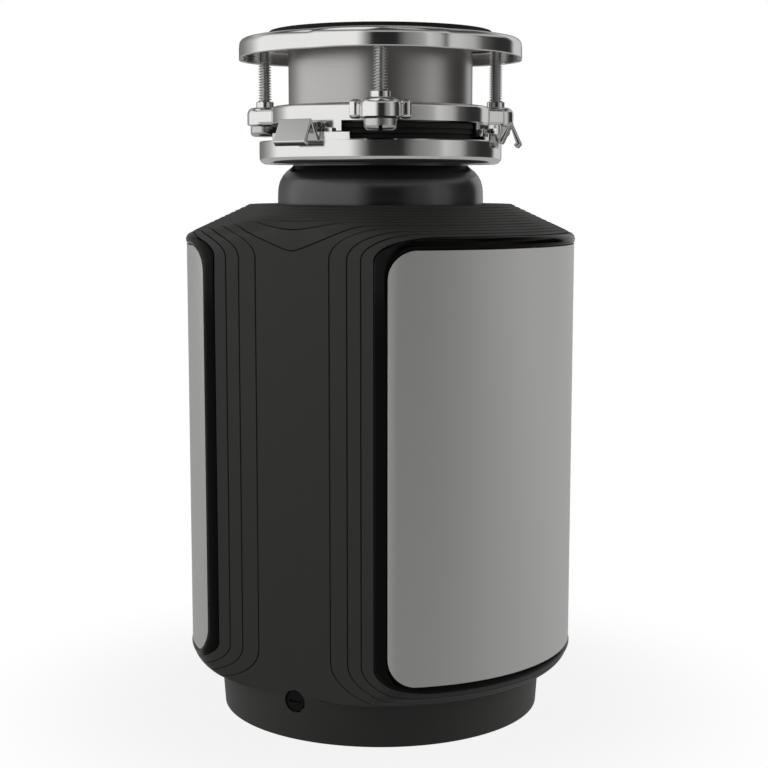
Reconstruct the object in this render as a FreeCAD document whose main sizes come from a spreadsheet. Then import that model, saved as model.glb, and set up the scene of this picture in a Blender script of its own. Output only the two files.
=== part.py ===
import FreeCAD, Part
import os
import re
import Sketcher

# Kitchen garbage disposal with its three-screw sink mount.
# Millimetres, +Z up. The origin is the centre of the foot ring, on the surface it stands on.
# -Y faces the front panel, +Y the rear panel, and the +X flat carries the outlet and the inlet.

DOC = FreeCAD.newDocument("garbage_disposal")
NODES = []

SIZES = [
    # Outer shell, from the inside out: container, foam, wall, bulge of the round front and rear.
    ("seat_gap", 0.3, "play between pieces that seat on each other"),
    ("running_gap", 0.05, "radial play of a pin or a shaft in its bore"),
    ("container_radius", 69.5, "outside of the grinding container"),
    ("container_wall", 3.0, "wall of the container"),
    ("foam_thickness", 3.3, "sound insulation at the flats"),
    ("shell_wall", 3.6, "wall of the outer shell"),
    ("housing_bulge", 14.0, "round front beyond the flat sides"),
    ("skirt_height", 20.0, "foot skirt"),
    ("skirt_wall", 5.0, "wall at the top of the skirt"),
    ("foot_inset", 1.5, "taper of the skirt towards the floor"),
    ("foot_edge", 1.6, "rounded edge at the floor"),
    ("shoulder_rise", 11.0, "curved underside from the skirt to the panels"),
    ("cone_rise", 15.8, "sloping top from the rim to the deck"),
    ("deck_radius", 61.3, "flat deck around the neck"),
    ("skin_depth", 1.6, "thickness of the glossy bezels"),
    ("bezel_side", 40.7, "edge of a bezel on the flats, from the middle"),
    ("bezel_lip", 2.4, "bezel above and below a panel"),
    ("panel_sheet", 0.9, "stainless sheet of the panels"),
    # Bottom of the unit.
    ("cover_height", 5.0, "bottom cover above the floor"),
    ("cover_sheet", 1.5, "sheet of the bottom cover"),
    ("terminal_space", 17.5, "wiring space above the bottom cover"),
    ("frame_plate", 3.0, "plate of the lower end frame"),
    ("frame_rim", 4.7, "rim of the lower end frame"),
    ("knockout_radius", 11.1, "cable entry"),
    ("jam_socket_flats", 6.35, "hexagon socket in the shaft end, across flats"),
    ("button_radius", 4.5, "overload reset button"),
    ("button_travel", 2.0, "how far the button pops out"),
    ("recess_radius", 5.25, "recess of a shell screw"),
    ("recess_height", 17.9, "middle of that recess above the floor"),
    # Motor.
    ("switch_space", 9.0, "between the lower end frame and the windings"),
    ("winding_overhang", 14.0, "end turns beyond the stator core"),
    ("stator_height", 54.0, "stack of laminations"),
    ("stator_inset", 7.5, "stator smaller than the container"),
    ("stator_bore", 30.0, "inside of the stator"),
    ("slot_count", 12, "slots in the stator"),
    ("air_gap", 0.8, "between rotor and stator"),
    ("cup_wall", 3.0, "wall of the two end frame cups"),
    ("shaft_radius", 7.9, "motor shaft"),
    ("bearing_wall", 3.5, "wall of the sleeve bearings"),
    ("hub_radius", 16.0, "bearing hubs of the end frames"),
    ("bolt_radius", 2.2, "through bolts"),
    ("top_space", 10.0, "between the windings and the upper end frame"),
    ("sump_floor", 4.0, "plate of the upper end frame"),
    # Grinding chamber.
    ("seal_thickness", 1.5, "seal between container and upper end frame"),
    ("sump_height", 42.5, "discharge space under the turntable"),
    ("turntable_sheet", 2.5, "turntable disc"),
    ("hopper_height", 43.5, "straight wall above the turntable"),
    ("hopper_shoulder", 12.0, "from that wall to the neck"),
    ("shredder_wall", 3.5, "wall of the shredder ring"),
    ("shredder_height", 26.0, "height of the shredder ring"),
    ("tooth_gap", 3.0, "width of a slot in the shredder ring"),
    ("tooth_count", 24, "slots in the shredder ring"),
    ("impeller_circle", 38.0, "radius of the impeller pivots"),
    ("impeller_sheet", 3.0, "impeller plate"),
    ("impeller_reach", 18.0, "from the pivot to the outer end of an impeller"),
    ("rivet_radius", 4.0, "impeller pivots"),
    # Outlet and inlet on the +X flat.
    ("outlet_bore", 16.5, "radius of the outlet"),
    ("outlet_wall", 3.0, "wall of the outlet boss"),
    ("tailpipe_radius", 19.05, "radius of the tailpipe elbow"),
    ("tailpipe_wall", 2.0, "wall of the elbow"),
    ("elbow_bend", 24.0, "bend of the elbow"),
    ("elbow_drop", 30.0, "straight end of the elbow"),
    ("inlet_radius", 11.1, "radius of the dishwasher inlet nipple"),
    ("inlet_wall", 2.5, "wall of the nipple"),
    # Neck and sink mount.
    ("neck_radius", 48.0, "neck above the deck"),
    ("waist_radius", 41.0, "narrow waist under the lip"),
    ("lip_radius", 44.5, "lip that carries the mounting gasket"),
    ("throat_radius", 37.9, "bore of the neck"),
    ("mount_rise", 18.3, "from the deck to the lower mounting ring"),
    ("ring_radius", 56.4, "lower mounting ring"),
    ("ring_height", 10.5, "height of that ring"),
    ("ring_wall", 3.1, "wall of that ring"),
    ("ring_floor", 2.5, "floor of that ring"),
    ("ring_spacing", 8.0, "gap between the two mounting rings"),
    ("band_radius", 50.6, "upper mounting ring"),
    ("band_height", 8.0, "height of that ring"),
    ("sleeve_radius", 42.7, "sink sleeve"),
    ("sleeve_wall", 1.5, "wall of the sink sleeve"),
    ("screw_circle", 64.7, "radius of the mounting screw circle"),
    ("screw_radius", 3.15, "mounting screws"),
    ("screw_head", 7.25, "radius of a screw head"),
    ("screw_head_height", 5.0, "height of a screw head"),
    ("lug_radius", 8.7, "threaded lugs of the upper ring"),
    ("flange_rise", 30.8, "from the upper ring to the top of the backup flange"),
    ("flange_radius", 66.0, "backup flange"),
    ("flange_height", 9.0, "turned down rim of the flange"),
    ("flange_sheet", 2.2, "sheet of the flange"),
    ("lobe_circle", 60.5, "centres of the flange lobes"),
    ("lobe_radius", 10.0, "radius of a flange lobe"),
    ("gasket_radius", 52.0, "fibre gasket"),
    ("gasket_thickness", 3.2, "fibre gasket"),
]
SCREW_ANGLES = (-150, -30, 90)
TAB_ANGLES = (172.5, -67.5, 52.5)

# Radii that follow from the sizes above.
CONTAINER_INSIDE = "(container_radius - container_wall)"
FOAM_OUTSIDE = "(container_radius + foam_thickness + seat_gap)"
SHELL_INSIDE = "(container_radius + foam_thickness + 2 * seat_gap)"
FLAT = "(container_radius + foam_thickness + 2 * seat_gap + shell_wall)"
HOUSING = f"({FLAT} + housing_bulge)"
SKIRT_INSIDE = f"({FLAT} - skirt_wall)"
STATOR = "(container_radius - stator_inset)"
FRAME = f"({SKIRT_INSIDE} - seat_gap)"
FLANGE_EDGE = "(container_radius + container_wall / 2)"
BOLT_CIRCLE = "(container_radius - stator_inset - 6.2)"
BEARING_BORE = "(shaft_radius + running_gap)"
BEARING = "(shaft_radius + bearing_wall)"
HUB_BORE = "(shaft_radius + bearing_wall + 2 * running_gap)"
SHREDDER = f"({CONTAINER_INSIDE} - seat_gap)"
OUTLET_EAR = "(tailpipe_radius + 11.95)"
OUTLET_BOLTS = ("-(tailpipe_radius + 5.95)", "tailpipe_radius + 5.95")
SHREDDER_INSIDE = f"({CONTAINER_INSIDE} - seat_gap - shredder_wall)"

# Heights, from the floor up.
COVER_TOP = "(cover_height + cover_sheet)"
FRAME_FOOT = f"({COVER_TOP} + terminal_space)"
FRAME_TOP = f"({FRAME_FOOT} + frame_plate)"
LOWER_TURNS = f"({FRAME_TOP} + switch_space)"
CORE_FOOT = f"({LOWER_TURNS} + winding_overhang)"
CORE_TOP = f"({CORE_FOOT} + stator_height)"
UPPER_TURNS = f"({CORE_TOP} + winding_overhang)"
SUMP_FOOT = f"({UPPER_TURNS} + top_space)"
SUMP_TOP = f"({SUMP_FOOT} + sump_floor)"
CONTAINER_FOOT = f"({SUMP_TOP} + seal_thickness)"
OUTLET_HEIGHT = f"({CONTAINER_FOOT} + sump_height / 2)"
TABLE = f"({CONTAINER_FOOT} + sump_height)"
TABLE_TOP = f"({TABLE} + turntable_sheet)"
HOPPER_TOP = f"({TABLE_TOP} + hopper_height)"
INLET_HEIGHT = f"({HOPPER_TOP} - 14)"
SHOULDER_TOP = f"({HOPPER_TOP} + hopper_shoulder)"
DECK = f"({SHOULDER_TOP} + 3.2)"
RIM = f"({DECK} - cone_rise)"
PANEL_TOP = f"({RIM} - bezel_lip)"
PANEL_FOOT = "(skirt_height + shoulder_rise + seat_gap)"
MOUNT = f"({DECK} + mount_rise)"
RING_FLOOR_TOP = f"({MOUNT} + ring_floor)"
RING_TOP = f"({MOUNT} + ring_height)"
LIP = f"({RING_FLOOR_TOP} + seat_gap)"
LIP_TOP = f"({LIP} + 2.7)"
SHELF = f"({LIP_TOP} + 2.7)"
SLEEVE_FOOT = f"({SHELF} + seat_gap)"
BAND = f"({RING_TOP} + ring_spacing)"
BAND_TOP = f"({BAND} + band_height)"
FLANGE_TOP = f"({BAND_TOP} + flange_rise)"
FLANGE_UNDER = f"({FLANGE_TOP} - flange_sheet)"
TOP = f"({FLANGE_TOP} + gasket_thickness)"


# ---------------------------------------------------------------- helpers


def make_sheet():
    """Write every driving size into one spreadsheet, with its alias."""
    sheet = DOC.addObject("Spreadsheet::Sheet", "Sizes")
    for row, (alias, value, note) in enumerate(SIZES, start=1):
        sheet.set(f"A{row}", alias)
        sheet.set(f"B{row}", str(value))
        sheet.set(f"C{row}", note)
        sheet.setAlias(f"B{row}", alias)
    DOC.recompute()
    return sheet


SHEET = make_sheet()


def bound(text):
    """Point each size name in an expression at its cell."""
    return re.sub(r"\b[a-z]+(?:_[a-z]+)+\b", lambda found: "Sizes." + found.group(0), str(text))


def number(text):
    """The present value of an expression."""
    return float(SHEET.evalExpression(bound(text)))


def bind(item, **expressions):
    """Bind properties of an object to expressions of the sizes."""
    for name, text in expressions.items():
        item.setExpression(name, bound(text))


def place(item, across="0", along="0", up="0"):
    """Bind an object's position to expressions."""
    bind(item, **{"Placement.Base.x": across, "Placement.Base.y": along, "Placement.Base.z": up})
    return item


def keep(item, label):
    """Name a finished sub-part: its label names its node and its file."""
    item.Label = label
    NODES.append(item)
    return item


def turn(item, degrees):
    """Turn a finished sub-part about the vertical axis through the origin."""
    item.Placement = FreeCAD.Placement(
        FreeCAD.Vector(), FreeCAD.Rotation(FreeCAD.Vector(0, 0, 1), degrees)
    )
    return item


def outline(body, plane, corners):
    """A closed polygon sketch on an origin plane, each corner held by expressions."""
    sketch = body.newObject("Sketcher::SketchObject", "outline")
    support = [feature for feature in body.Origin.OriginFeatures if feature.Role == plane]
    sketch.AttachmentSupport = (support[0], [""])
    sketch.MapMode = "FlatFace"
    points = [FreeCAD.Vector(number(across), number(up), 0) for across, up in corners]
    for start, end in zip(points, points[1:] + points[:1]):
        sketch.addGeometry(Part.LineSegment(start, end))
    for line in range(len(points)):
        following = (line + 1) % len(points)
        sketch.addConstraint(Sketcher.Constraint("Coincident", line, 2, following, 1))
    for line, corner in enumerate(corners):
        for kind, axis, text in (("DistanceX", -2, corner[0]), ("DistanceY", -1, corner[1])):
            if text == "0":
                sketch.addConstraint(Sketcher.Constraint("PointOnObject", line, 1, axis))
                continue
            rule = Sketcher.Constraint(kind, -1, 1, line, 1, number(text))
            index = sketch.addConstraint(rule)
            sketch.setExpression(f"Constraints[{index}]", bound(text))
    return sketch


def lathe(label, corners):
    """A turned piece: corners are (radius, height) pairs, turned about the vertical axis."""
    body = DOC.addObject("PartDesign::Body", label)
    sketch = outline(body, "XZ_Plane", corners)
    revolution = body.newObject("PartDesign::Revolution", "revolution")
    revolution.Profile = sketch
    revolution.ReferenceAxis = (sketch, ["V_Axis"])
    revolution.Angle = 360
    DOC.recompute()
    return body


def bent_sheet(label, corners, width):
    """A piece with one outline in the XZ plane, padded the same width to both sides."""
    body = DOC.addObject("PartDesign::Body", label)
    pad = body.newObject("PartDesign::Pad", "pad")
    pad.Profile = outline(body, "XZ_Plane", corners)
    pad.SideType = "Symmetric"
    bind(pad, Length=width)
    DOC.recompute()
    return body


def tube(label, outside, inside, foot, top):
    """A plain ring or bush."""
    return lathe(label, [(inside, foot), (outside, foot), (outside, top), (inside, top)])


def cylinder(radius, foot, top, across="0", along="0"):
    """An upright cylinder between two heights."""
    item = DOC.addObject("Part::Cylinder", "cylinder")
    bind(item, Radius=radius, Height=f"({top}) - ({foot})")
    return place(item, across, along, foot)


def rod(radius, start, end, along="0", up="0"):
    """A cylinder that lies along +X between two distances."""
    item = DOC.addObject("Part::Cylinder", "rod")
    item.Placement = FreeCAD.Placement(
        FreeCAD.Vector(), FreeCAD.Rotation(FreeCAD.Vector(0, 1, 0), 90)
    )
    bind(item, Radius=radius, Height=f"({end}) - ({start})")
    return place(item, start, along, up)


def box(across, along, up):
    """A box from three (from, to) pairs of expressions."""
    item = DOC.addObject("Part::Box", "box")
    spans = {"Length": across, "Width": along, "Height": up}
    for name, (start, end) in spans.items():
        item.setExpression(name, bound(f"({end}) - ({start})"))
    return place(item, across[0], along[0], up[0])


def centred_box(length, width, up, across="0", along="0"):
    """A box with its middle at (across, along)."""
    return box(
        (f"{across} - ({length}) / 2", f"{across} + ({length}) / 2"),
        (f"{along} - ({width}) / 2", f"{along} + ({width}) / 2"),
        up,
    )


def cut(base, *tools):
    """Take tools away from a base."""
    item = DOC.addObject("Part::Cut", "cut")
    item.Base = base
    item.Tool = tools[0] if len(tools) == 1 else fuse(*tools)
    return item


def fuse(*shapes):
    """Join shapes into one solid, or group solids that don't touch."""
    item = DOC.addObject("Part::MultiFuse", "fuse")
    item.Shapes = list(shapes)
    item.Refine = True
    return item


def common(*shapes):
    """What the shapes share."""
    item = DOC.addObject("Part::MultiCommon", "common")
    item.Shapes = list(shapes)
    return item


def polar(circle, angle):
    """Expressions for a place on a circle about the vertical axis."""
    return f"{circle} * cos({angle} deg)", f"{circle} * sin({angle} deg)"


def ring_of(radius, foot, top, circle, angles):
    """Upright cylinders spread around a circle."""
    return [cylinder(radius, foot, top, *polar(circle, angle)) for angle in angles]


def spoke(inside, outside, width, foot, top, angle):
    """A box that points outward from the axis, with its middle plane at an angle."""
    item = box((inside, outside), ("0", width), (foot, top))
    rotation = FreeCAD.Rotation(FreeCAD.Vector(0, 0, 1), angle)
    item.Placement = FreeCAD.Placement(FreeCAD.Vector(), rotation)
    across, along = polar(f"({inside})", angle)
    side_across, side_along = polar(f"(({width}) / 2)", angle)
    return place(item, f"{across} + {side_along}", f"{along} - {side_across}", foot)


def quarter_angles(offset):
    """Four angles, a quarter turn apart."""
    return [offset + 90 * index for index in range(4)]


# ---------------------------------------------------------------- outer shell


def housing_form(inset):
    """The outside of the housing moved in: round front and rear, flat left and right."""
    top = f"{RIM} - {inset} / 4"
    form = lathe(
        "form",
        [
            ("0", "0"),
            (f"{FLAT} - foot_inset - foot_edge - {inset}", "0"),
            (f"{FLAT} - foot_inset - {inset}", "foot_edge"),
            (f"{FLAT} - {inset}", "skirt_height"),
            (f"{FLAT} + housing_bulge * 0.54 - {inset}", "skirt_height + shoulder_rise * 0.22"),
            (f"{HOUSING} - housing_bulge * 0.12 - {inset}", "skirt_height + shoulder_rise * 0.57"),
            (f"{HOUSING} - {inset}", "skirt_height + shoulder_rise"),
            (f"{HOUSING} - {inset}", top),
            (f"deck_radius - {inset} / 4", f"{DECK} - {inset}"),
            ("0", f"{DECK} - {inset}"),
        ],
    )
    slab = centred_box(f"2 * ({FLAT} - {inset})", f"3 * {HOUSING}", ("-1", f"{DECK} + 1"))
    return common(form, slab)


def housing_room():
    """The space inside the shell, open at the floor."""
    wall = "shell_wall"
    form = lathe(
        "room",
        [
            ("0", "-1"),
            (SKIRT_INSIDE, "-1"),
            (SKIRT_INSIDE, "skirt_height + 4"),
            (f"{HOUSING} - {wall}", "skirt_height + shoulder_rise + 4"),
            (f"{HOUSING} - {wall}", f"{RIM} - {wall} / 4"),
            (f"deck_radius - {wall} / 2", f"{DECK} - {wall}"),
            ("0", f"{DECK} - {wall}"),
        ],
    )
    slab = centred_box(f"2 * {SHELL_INSIDE}", f"3 * {HOUSING}", ("-2", f"{DECK} + 1"))
    return common(form, slab)


def bezel_zone(side, margin):
    """Where a bezel lies: beyond its edge on the flats, from the shoulder to the rim."""
    near = f"bezel_side - {margin}"
    far = f"2 * {HOUSING}"
    along = (near, far) if side > 0 else (f"-{far}", f"-({near})")
    up = (f"skirt_height + shoulder_rise * 0.4 - {margin}", f"{RIM} + 0.9 + {margin}")
    return box((f"-{far}", far), along, up)


def outlet_window(margin):
    """The long hole that the outlet boss fills, through all that lies around the container."""
    start = "container_radius / 2"
    ears = f"{OUTLET_EAR} + {margin}"
    half = f"9 + {margin}"
    return fuse(
        rod(f"outlet_bore + outlet_wall + {margin}", start, HOUSING, "0", OUTLET_HEIGHT),
        box(
            (start, HOUSING),
            (f"-({ears})", ears),
            (f"{OUTLET_HEIGHT} - ({half})", f"{OUTLET_HEIGHT} + {half}"),
        ),
    )


def shell_screw_tool(side, radius, start, end):
    """A rod on the left or right, at the height of the shell screws."""
    if side > 0:
        return rod(radius, start, end, "0", "recess_height")
    return rod(radius, f"-({end})", f"-({start})", "0", "recess_height")


RECESS_FLOOR = f"({FLAT} - 3.1)"


def make_shell():
    """Outer shell with recesses for the bezels, its screws, the outlet and the inlet."""
    hollow = cut(housing_form("0"), housing_room())
    pockets = [
        cut(bezel_zone(side, "seat_gap"), housing_form("(skin_depth + seat_gap)"))
        for side in (-1, 1)
    ]
    holes = [
        cylinder("neck_radius + 0.8", f"{DECK} - 9", f"{DECK} + 1"),
        outlet_window("seat_gap + 0.5"),
        rod("inlet_radius + 1", f"{SHELL_INSIDE} - 6", f"{HOUSING}", "0", INLET_HEIGHT),
    ]
    for side in (-1, 1):
        holes.append(shell_screw_tool(side, "recess_radius", RECESS_FLOOR, f"{FLAT} + 5"))
        holes.append(shell_screw_tool(side, "2.5", f"{SKIRT_INSIDE} - 3", FLAT))
    keep(cut(hollow, *pockets, *holes), "outer_shell")


def make_trim():
    """Glossy bezels and the two stainless panels that they frame."""
    for name, side in (("front", -1), ("rear", 1)):
        skin = cut(housing_form("0"), housing_form("skin_depth"))
        window = box(
            (f"-({FLAT} - skin_depth - 0.1)", f"{FLAT} - skin_depth - 0.1"),
            ("0", f"2 * {HOUSING}") if side > 0 else (f"-2 * {HOUSING}", "0"),
            (PANEL_FOOT, PANEL_TOP),
        )
        keep(cut(common(skin, bezel_zone(side, "0")), window), f"{name}_bezel")
        sheet = tube(
            "sheet",
            HOUSING,
            f"{HOUSING} - panel_sheet",
            f"{PANEL_FOOT} + seat_gap",
            f"{PANEL_TOP} - seat_gap",
        )
        half = f"({FLAT} - skin_depth - 0.1 - seat_gap)"
        near = "container_radius / 2"
        span = (near, f"2 * {HOUSING}") if side > 0 else (f"-2 * {HOUSING}", f"-{near}")
        region = box((f"-{half}", half), span, ("0", DECK))
        keep(common(sheet, region), f"{name}_panel")


def make_shell_screws():
    """Two recessed screws that hold the shell to the lower end frame."""
    screws = []
    for side in (-1, 1):
        head = shell_screw_tool(side, "recess_radius - 0.8", RECESS_FLOOR, f"{RECESS_FLOOR} + 2")
        shank = shell_screw_tool(side, "2.2", f"{FRAME} - frame_rim", RECESS_FLOOR)
        slot_start = f"{RECESS_FLOOR} + 1.2"
        slot_end = f"{RECESS_FLOOR} + 3"
        span = (slot_start, slot_end) if side > 0 else (f"-({slot_end})", f"-({slot_start})")
        slot = box(span, ("-3", "3"), ("recess_height - 0.5", "recess_height + 0.5"))
        screws.append(cut(fuse(head, shank), slot))
    keep(fuse(*screws), "shell_screws")


def make_insulation():
    """Foam around the motor and around the container."""
    lower = tube(
        "foam",
        FOAM_OUTSIDE,
        f"{STATOR} + 1",
        f"{FRAME_TOP} + seat_gap",
        f"{SUMP_FOOT} - 1.6",
    )
    keep(lower, "motor_insulation")
    upper = tube(
        "foam",
        FOAM_OUTSIDE,
        "container_radius + seat_gap",
        f"{CONTAINER_FOOT} + 5.5",
        f"{HOPPER_TOP} - seat_gap",
    )
    inlet = rod("inlet_radius + 3.3", "container_radius / 2", HOUSING, "0", INLET_HEIGHT)
    keep(cut(upper, outlet_window("seat_gap"), inlet), "container_insulation")


# ---------------------------------------------------------------- bottom of the unit

COVER_SCREW_ANGLES = quarter_angles(30)
COVER_SCREW_CIRCLE = f"({FRAME} - frame_rim / 2 - 0.5)"
BUTTON_PLACE = ("-34", "0")
CABLE_PLACE = ("36", "-26")
GROUND_PLACE = ("16", "-44")
TERMINAL_PLACE = ("0", "38")
TERMINAL_SCREWS = ("-27", "27")


def make_bottom():
    """Bottom cover with its openings, the terminal cover and their screws."""
    plate = cylinder(f"{FRAME} - seat_gap", "cover_height", COVER_TOP)
    under = "cover_height - 1"
    over = f"{COVER_TOP} + 1"
    holes = [
        cylinder("shaft_radius + 2", under, over),
        cylinder("button_radius + 0.5", under, over, *BUTTON_PLACE),
        cylinder("knockout_radius", under, over, *CABLE_PLACE),
        centred_box("46", "24", (under, over), *TERMINAL_PLACE),
    ]
    holes += ring_of("1.7", under, over, COVER_SCREW_CIRCLE, COVER_SCREW_ANGLES)
    holes += [cylinder("1.7", under, over, across, TERMINAL_PLACE[1]) for across in TERMINAL_SCREWS]
    keep(cut(plate, *holes), "bottom_cover")

    lid = centred_box("62", "34", ("cover_height - 1.2", "cover_height"), *TERMINAL_PLACE)
    lid_holes = [
        cylinder("1.7", "cover_height - 2", over, across, TERMINAL_PLACE[1])
        for across in TERMINAL_SCREWS
    ]
    keep(cut(lid, *lid_holes), "terminal_cover")

    screws = []
    for angle in COVER_SCREW_ANGLES:
        middle = polar(COVER_SCREW_CIRCLE, angle)
        head = cylinder("2.8", "cover_height - 1.6", "cover_height", *middle)
        shank = cylinder("1.6", "cover_height", f"{COVER_TOP} + 8", *middle)
        screws.append(fuse(head, shank))
    keep(fuse(*screws), "bottom_cover_screws")

    screws = []
    for across in TERMINAL_SCREWS:
        middle = (across, TERMINAL_PLACE[1])
        head = cylinder("3", "cover_height - 2.8", "cover_height - 1.2", *middle)
        shank = cylinder("1.6", "cover_height - 1.2", f"{COVER_TOP} + 4", *middle)
        screws.append(fuse(head, shank))
    keep(fuse(*screws), "terminal_cover_screws")


def make_lower_frame():
    """Lower end frame: rim, plate, bearing hub and the cup that carries the stator."""
    form = lathe(
        "frame",
        [
            (HUB_BORE, f"{FRAME_FOOT} - 7"),
            ("hub_radius", f"{FRAME_FOOT} - 7"),
            ("hub_radius", FRAME_FOOT),
            (f"{FRAME} - frame_rim", FRAME_FOOT),
            (f"{FRAME} - frame_rim", COVER_TOP),
            (FRAME, COVER_TOP),
            (FRAME, FRAME_TOP),
            (STATOR, FRAME_TOP),
            (STATOR, CORE_FOOT),
            (f"{STATOR} - cup_wall", CORE_FOOT),
            (f"{STATOR} - cup_wall", FRAME_TOP),
            ("hub_radius", FRAME_TOP),
            ("hub_radius", f"{FRAME_TOP} + 7"),
            (HUB_BORE, f"{FRAME_TOP} + 7"),
        ],
    )
    over = f"{FRAME_TOP} + 1"
    holes = ring_of("bolt_radius + 0.2", f"{FRAME_FOOT} - 1", over, BOLT_CIRCLE, quarter_angles(45))
    holes += ring_of(
        "1.7", f"{COVER_TOP} - 1", f"{COVER_TOP} + 9", COVER_SCREW_CIRCLE, COVER_SCREW_ANGLES
    )
    holes.append(cylinder("2.3", f"{FRAME_FOOT} - 1", over, *GROUND_PLACE))
    for side in (-1, 1):
        holes.append(shell_screw_tool(side, "2.3", f"{FRAME} - frame_rim - 1", f"{FRAME} + 1"))
    keep(cut(form, *holes), "lower_end_frame")

    head = cylinder("4.2", f"{FRAME_FOOT} - 3", FRAME_FOOT, *GROUND_PLACE)
    shank = cylinder("2.2", FRAME_FOOT, f"{FRAME_TOP} + 2", *GROUND_PLACE)
    keep(fuse(head, shank), "ground_screw")


def make_overload():
    """Thermal overload protector, and the button that resets it."""
    case = centred_box("24", "20", (f"{FRAME_FOOT} - 12", FRAME_FOOT), *BUTTON_PLACE)
    well = cylinder(
        "button_radius + running_gap", f"{FRAME_FOOT} - 13", f"{FRAME_FOOT} - 3", *BUTTON_PLACE
    )
    keep(cut(case, well), "overload_protector")
    button_foot = "cover_height - button_travel"
    keep(cylinder("button_radius", button_foot, f"{FRAME_FOOT} - 4", *BUTTON_PLACE), "reset_button")


# ---------------------------------------------------------------- motor


def slot_tools(inside, outside, width, foot, top):
    """Boxes that point outward, one in each slot of the stator."""
    count = int(number("slot_count"))
    angles = [15 + 360 * index / count for index in range(count)]
    return [spoke(inside, outside, width, foot, top, angle) for angle in angles]


def make_stator():
    """Stator core with its slots, and the windings that fill them."""
    core = tube("core", STATOR, "stator_bore", CORE_FOOT, CORE_TOP)
    slots = slot_tools(
        "stator_bore + 3", f"{STATOR} - 11.5", "6", f"{CORE_FOOT} - 1", f"{CORE_TOP} + 1"
    )
    bolts = ring_of(
        "bolt_radius + 0.2", f"{CORE_FOOT} - 1", f"{CORE_TOP} + 1", BOLT_CIRCLE, quarter_angles(45)
    )
    keep(cut(core, *slots, *bolts), "stator_core")

    inside = "stator_bore + 3.5"
    outside = f"{STATOR} - 12"
    lower = tube("turns", outside, inside, LOWER_TURNS, f"{CORE_FOOT} - seat_gap")
    upper = tube("turns", outside, inside, f"{CORE_TOP} + seat_gap", UPPER_TURNS)
    bars = slot_tools(
        f"{inside} + 0.5", f"{outside} - 0.5", "5", f"{CORE_FOOT} - 1", f"{CORE_TOP} + 1"
    )
    keep(fuse(lower, upper, *bars), "stator_winding")


def make_rotor():
    """Shaft, rotor core, end rings with fan blades, governor, and what turns with them."""
    shaft = lathe(
        "shaft",
        [
            ("0", f"{FRAME_FOOT} - 12"),
            ("shaft_radius", f"{FRAME_FOOT} - 12"),
            ("shaft_radius", f"{TABLE} - 3"),
            ("shaft_radius - 2", f"{TABLE} - 3"),
            ("shaft_radius - 2", f"{TABLE_TOP} + 10"),
            ("0", f"{TABLE_TOP} + 10"),
        ],
    )
    socket = DOC.addObject("Part::Prism", "socket")
    socket.Polygon = 6
    bind(socket, Circumradius="jam_socket_flats / sqrt(3)", Height="9")
    place(socket, "0", "0", f"{FRAME_FOOT} - 13")
    keep(cut(shaft, socket), "motor_shaft")

    edge = "(stator_bore - air_gap)"
    keep(tube("rotor", edge, "shaft_radius + running_gap", CORE_FOOT, CORE_TOP), "rotor_core")
    rings = []
    for foot, top in ((f"{CORE_FOOT} - 4", CORE_FOOT), (CORE_TOP, f"{CORE_TOP} + 4")):
        rings.append(tube("ring", f"{edge} - 1", f"{edge} - 12", foot, top))
    blades = []
    for foot, top in ((f"{CORE_FOOT} - 9", f"{CORE_FOOT} - 3"), (f"{CORE_TOP} + 3", f"{CORE_TOP} + 9")):
        for index in range(8):
            blades.append(spoke(f"{edge} - 10", f"{edge} - 2", "1.6", foot, top, 45 * index))
    keep(fuse(*rings, *blades), "rotor_end_rings")

    governor = lathe(
        "governor",
        [
            ("shaft_radius + running_gap", f"{FRAME_TOP} + 9.5"),
            ("shaft_radius + 9", f"{FRAME_TOP} + 9.5"),
            ("shaft_radius + 9", f"{FRAME_TOP} + 11.5"),
            ("shaft_radius + 4", f"{FRAME_TOP} + 13"),
            ("shaft_radius + 4", f"{FRAME_TOP} + 16"),
            ("shaft_radius + running_gap", f"{FRAME_TOP} + 16"),
        ],
    )
    keep(governor, "switch_governor")
    slinger = lathe(
        "slinger",
        [
            ("shaft_radius + running_gap", f"{SUMP_TOP} + 13"),
            ("shaft_radius + 10", f"{SUMP_TOP} + 12"),
            ("shaft_radius + 10", f"{SUMP_TOP} + 13.5"),
            ("shaft_radius + 4", f"{SUMP_TOP} + 17"),
            ("shaft_radius + running_gap", f"{SUMP_TOP} + 17"),
        ],
    )
    keep(slinger, "water_slinger")


def make_bearings():
    """Sleeve bearings, thrust washer, shaft seal and the start switch."""
    keep(
        tube("bearing", BEARING, BEARING_BORE, f"{FRAME_FOOT} - 7", f"{FRAME_TOP} + 7"),
        "lower_bearing",
    )
    keep(
        tube(
            "washer",
            "hub_radius - 3",
            "shaft_radius + 0.3",
            f"{FRAME_TOP} + 7",
            f"{FRAME_TOP} + 8.8",
        ),
        "thrust_washer",
    )
    keep(tube("bearing", BEARING, BEARING_BORE, f"{SUMP_FOOT} - 8", f"{SUMP_TOP} + 8"), "upper_bearing")
    seal = tube(
        "seal",
        "shaft_radius + 5",
        "shaft_radius + running_gap",
        f"{SUMP_TOP} + 8.3",
        f"{SUMP_TOP} + 12 - seat_gap",
    )
    keep(seal, "shaft_seal")
    switch = centred_box("24", "12", (FRAME_TOP, f"{FRAME_TOP} + switch_space - 1"), "0", "38")
    keep(switch, "start_switch")


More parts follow.
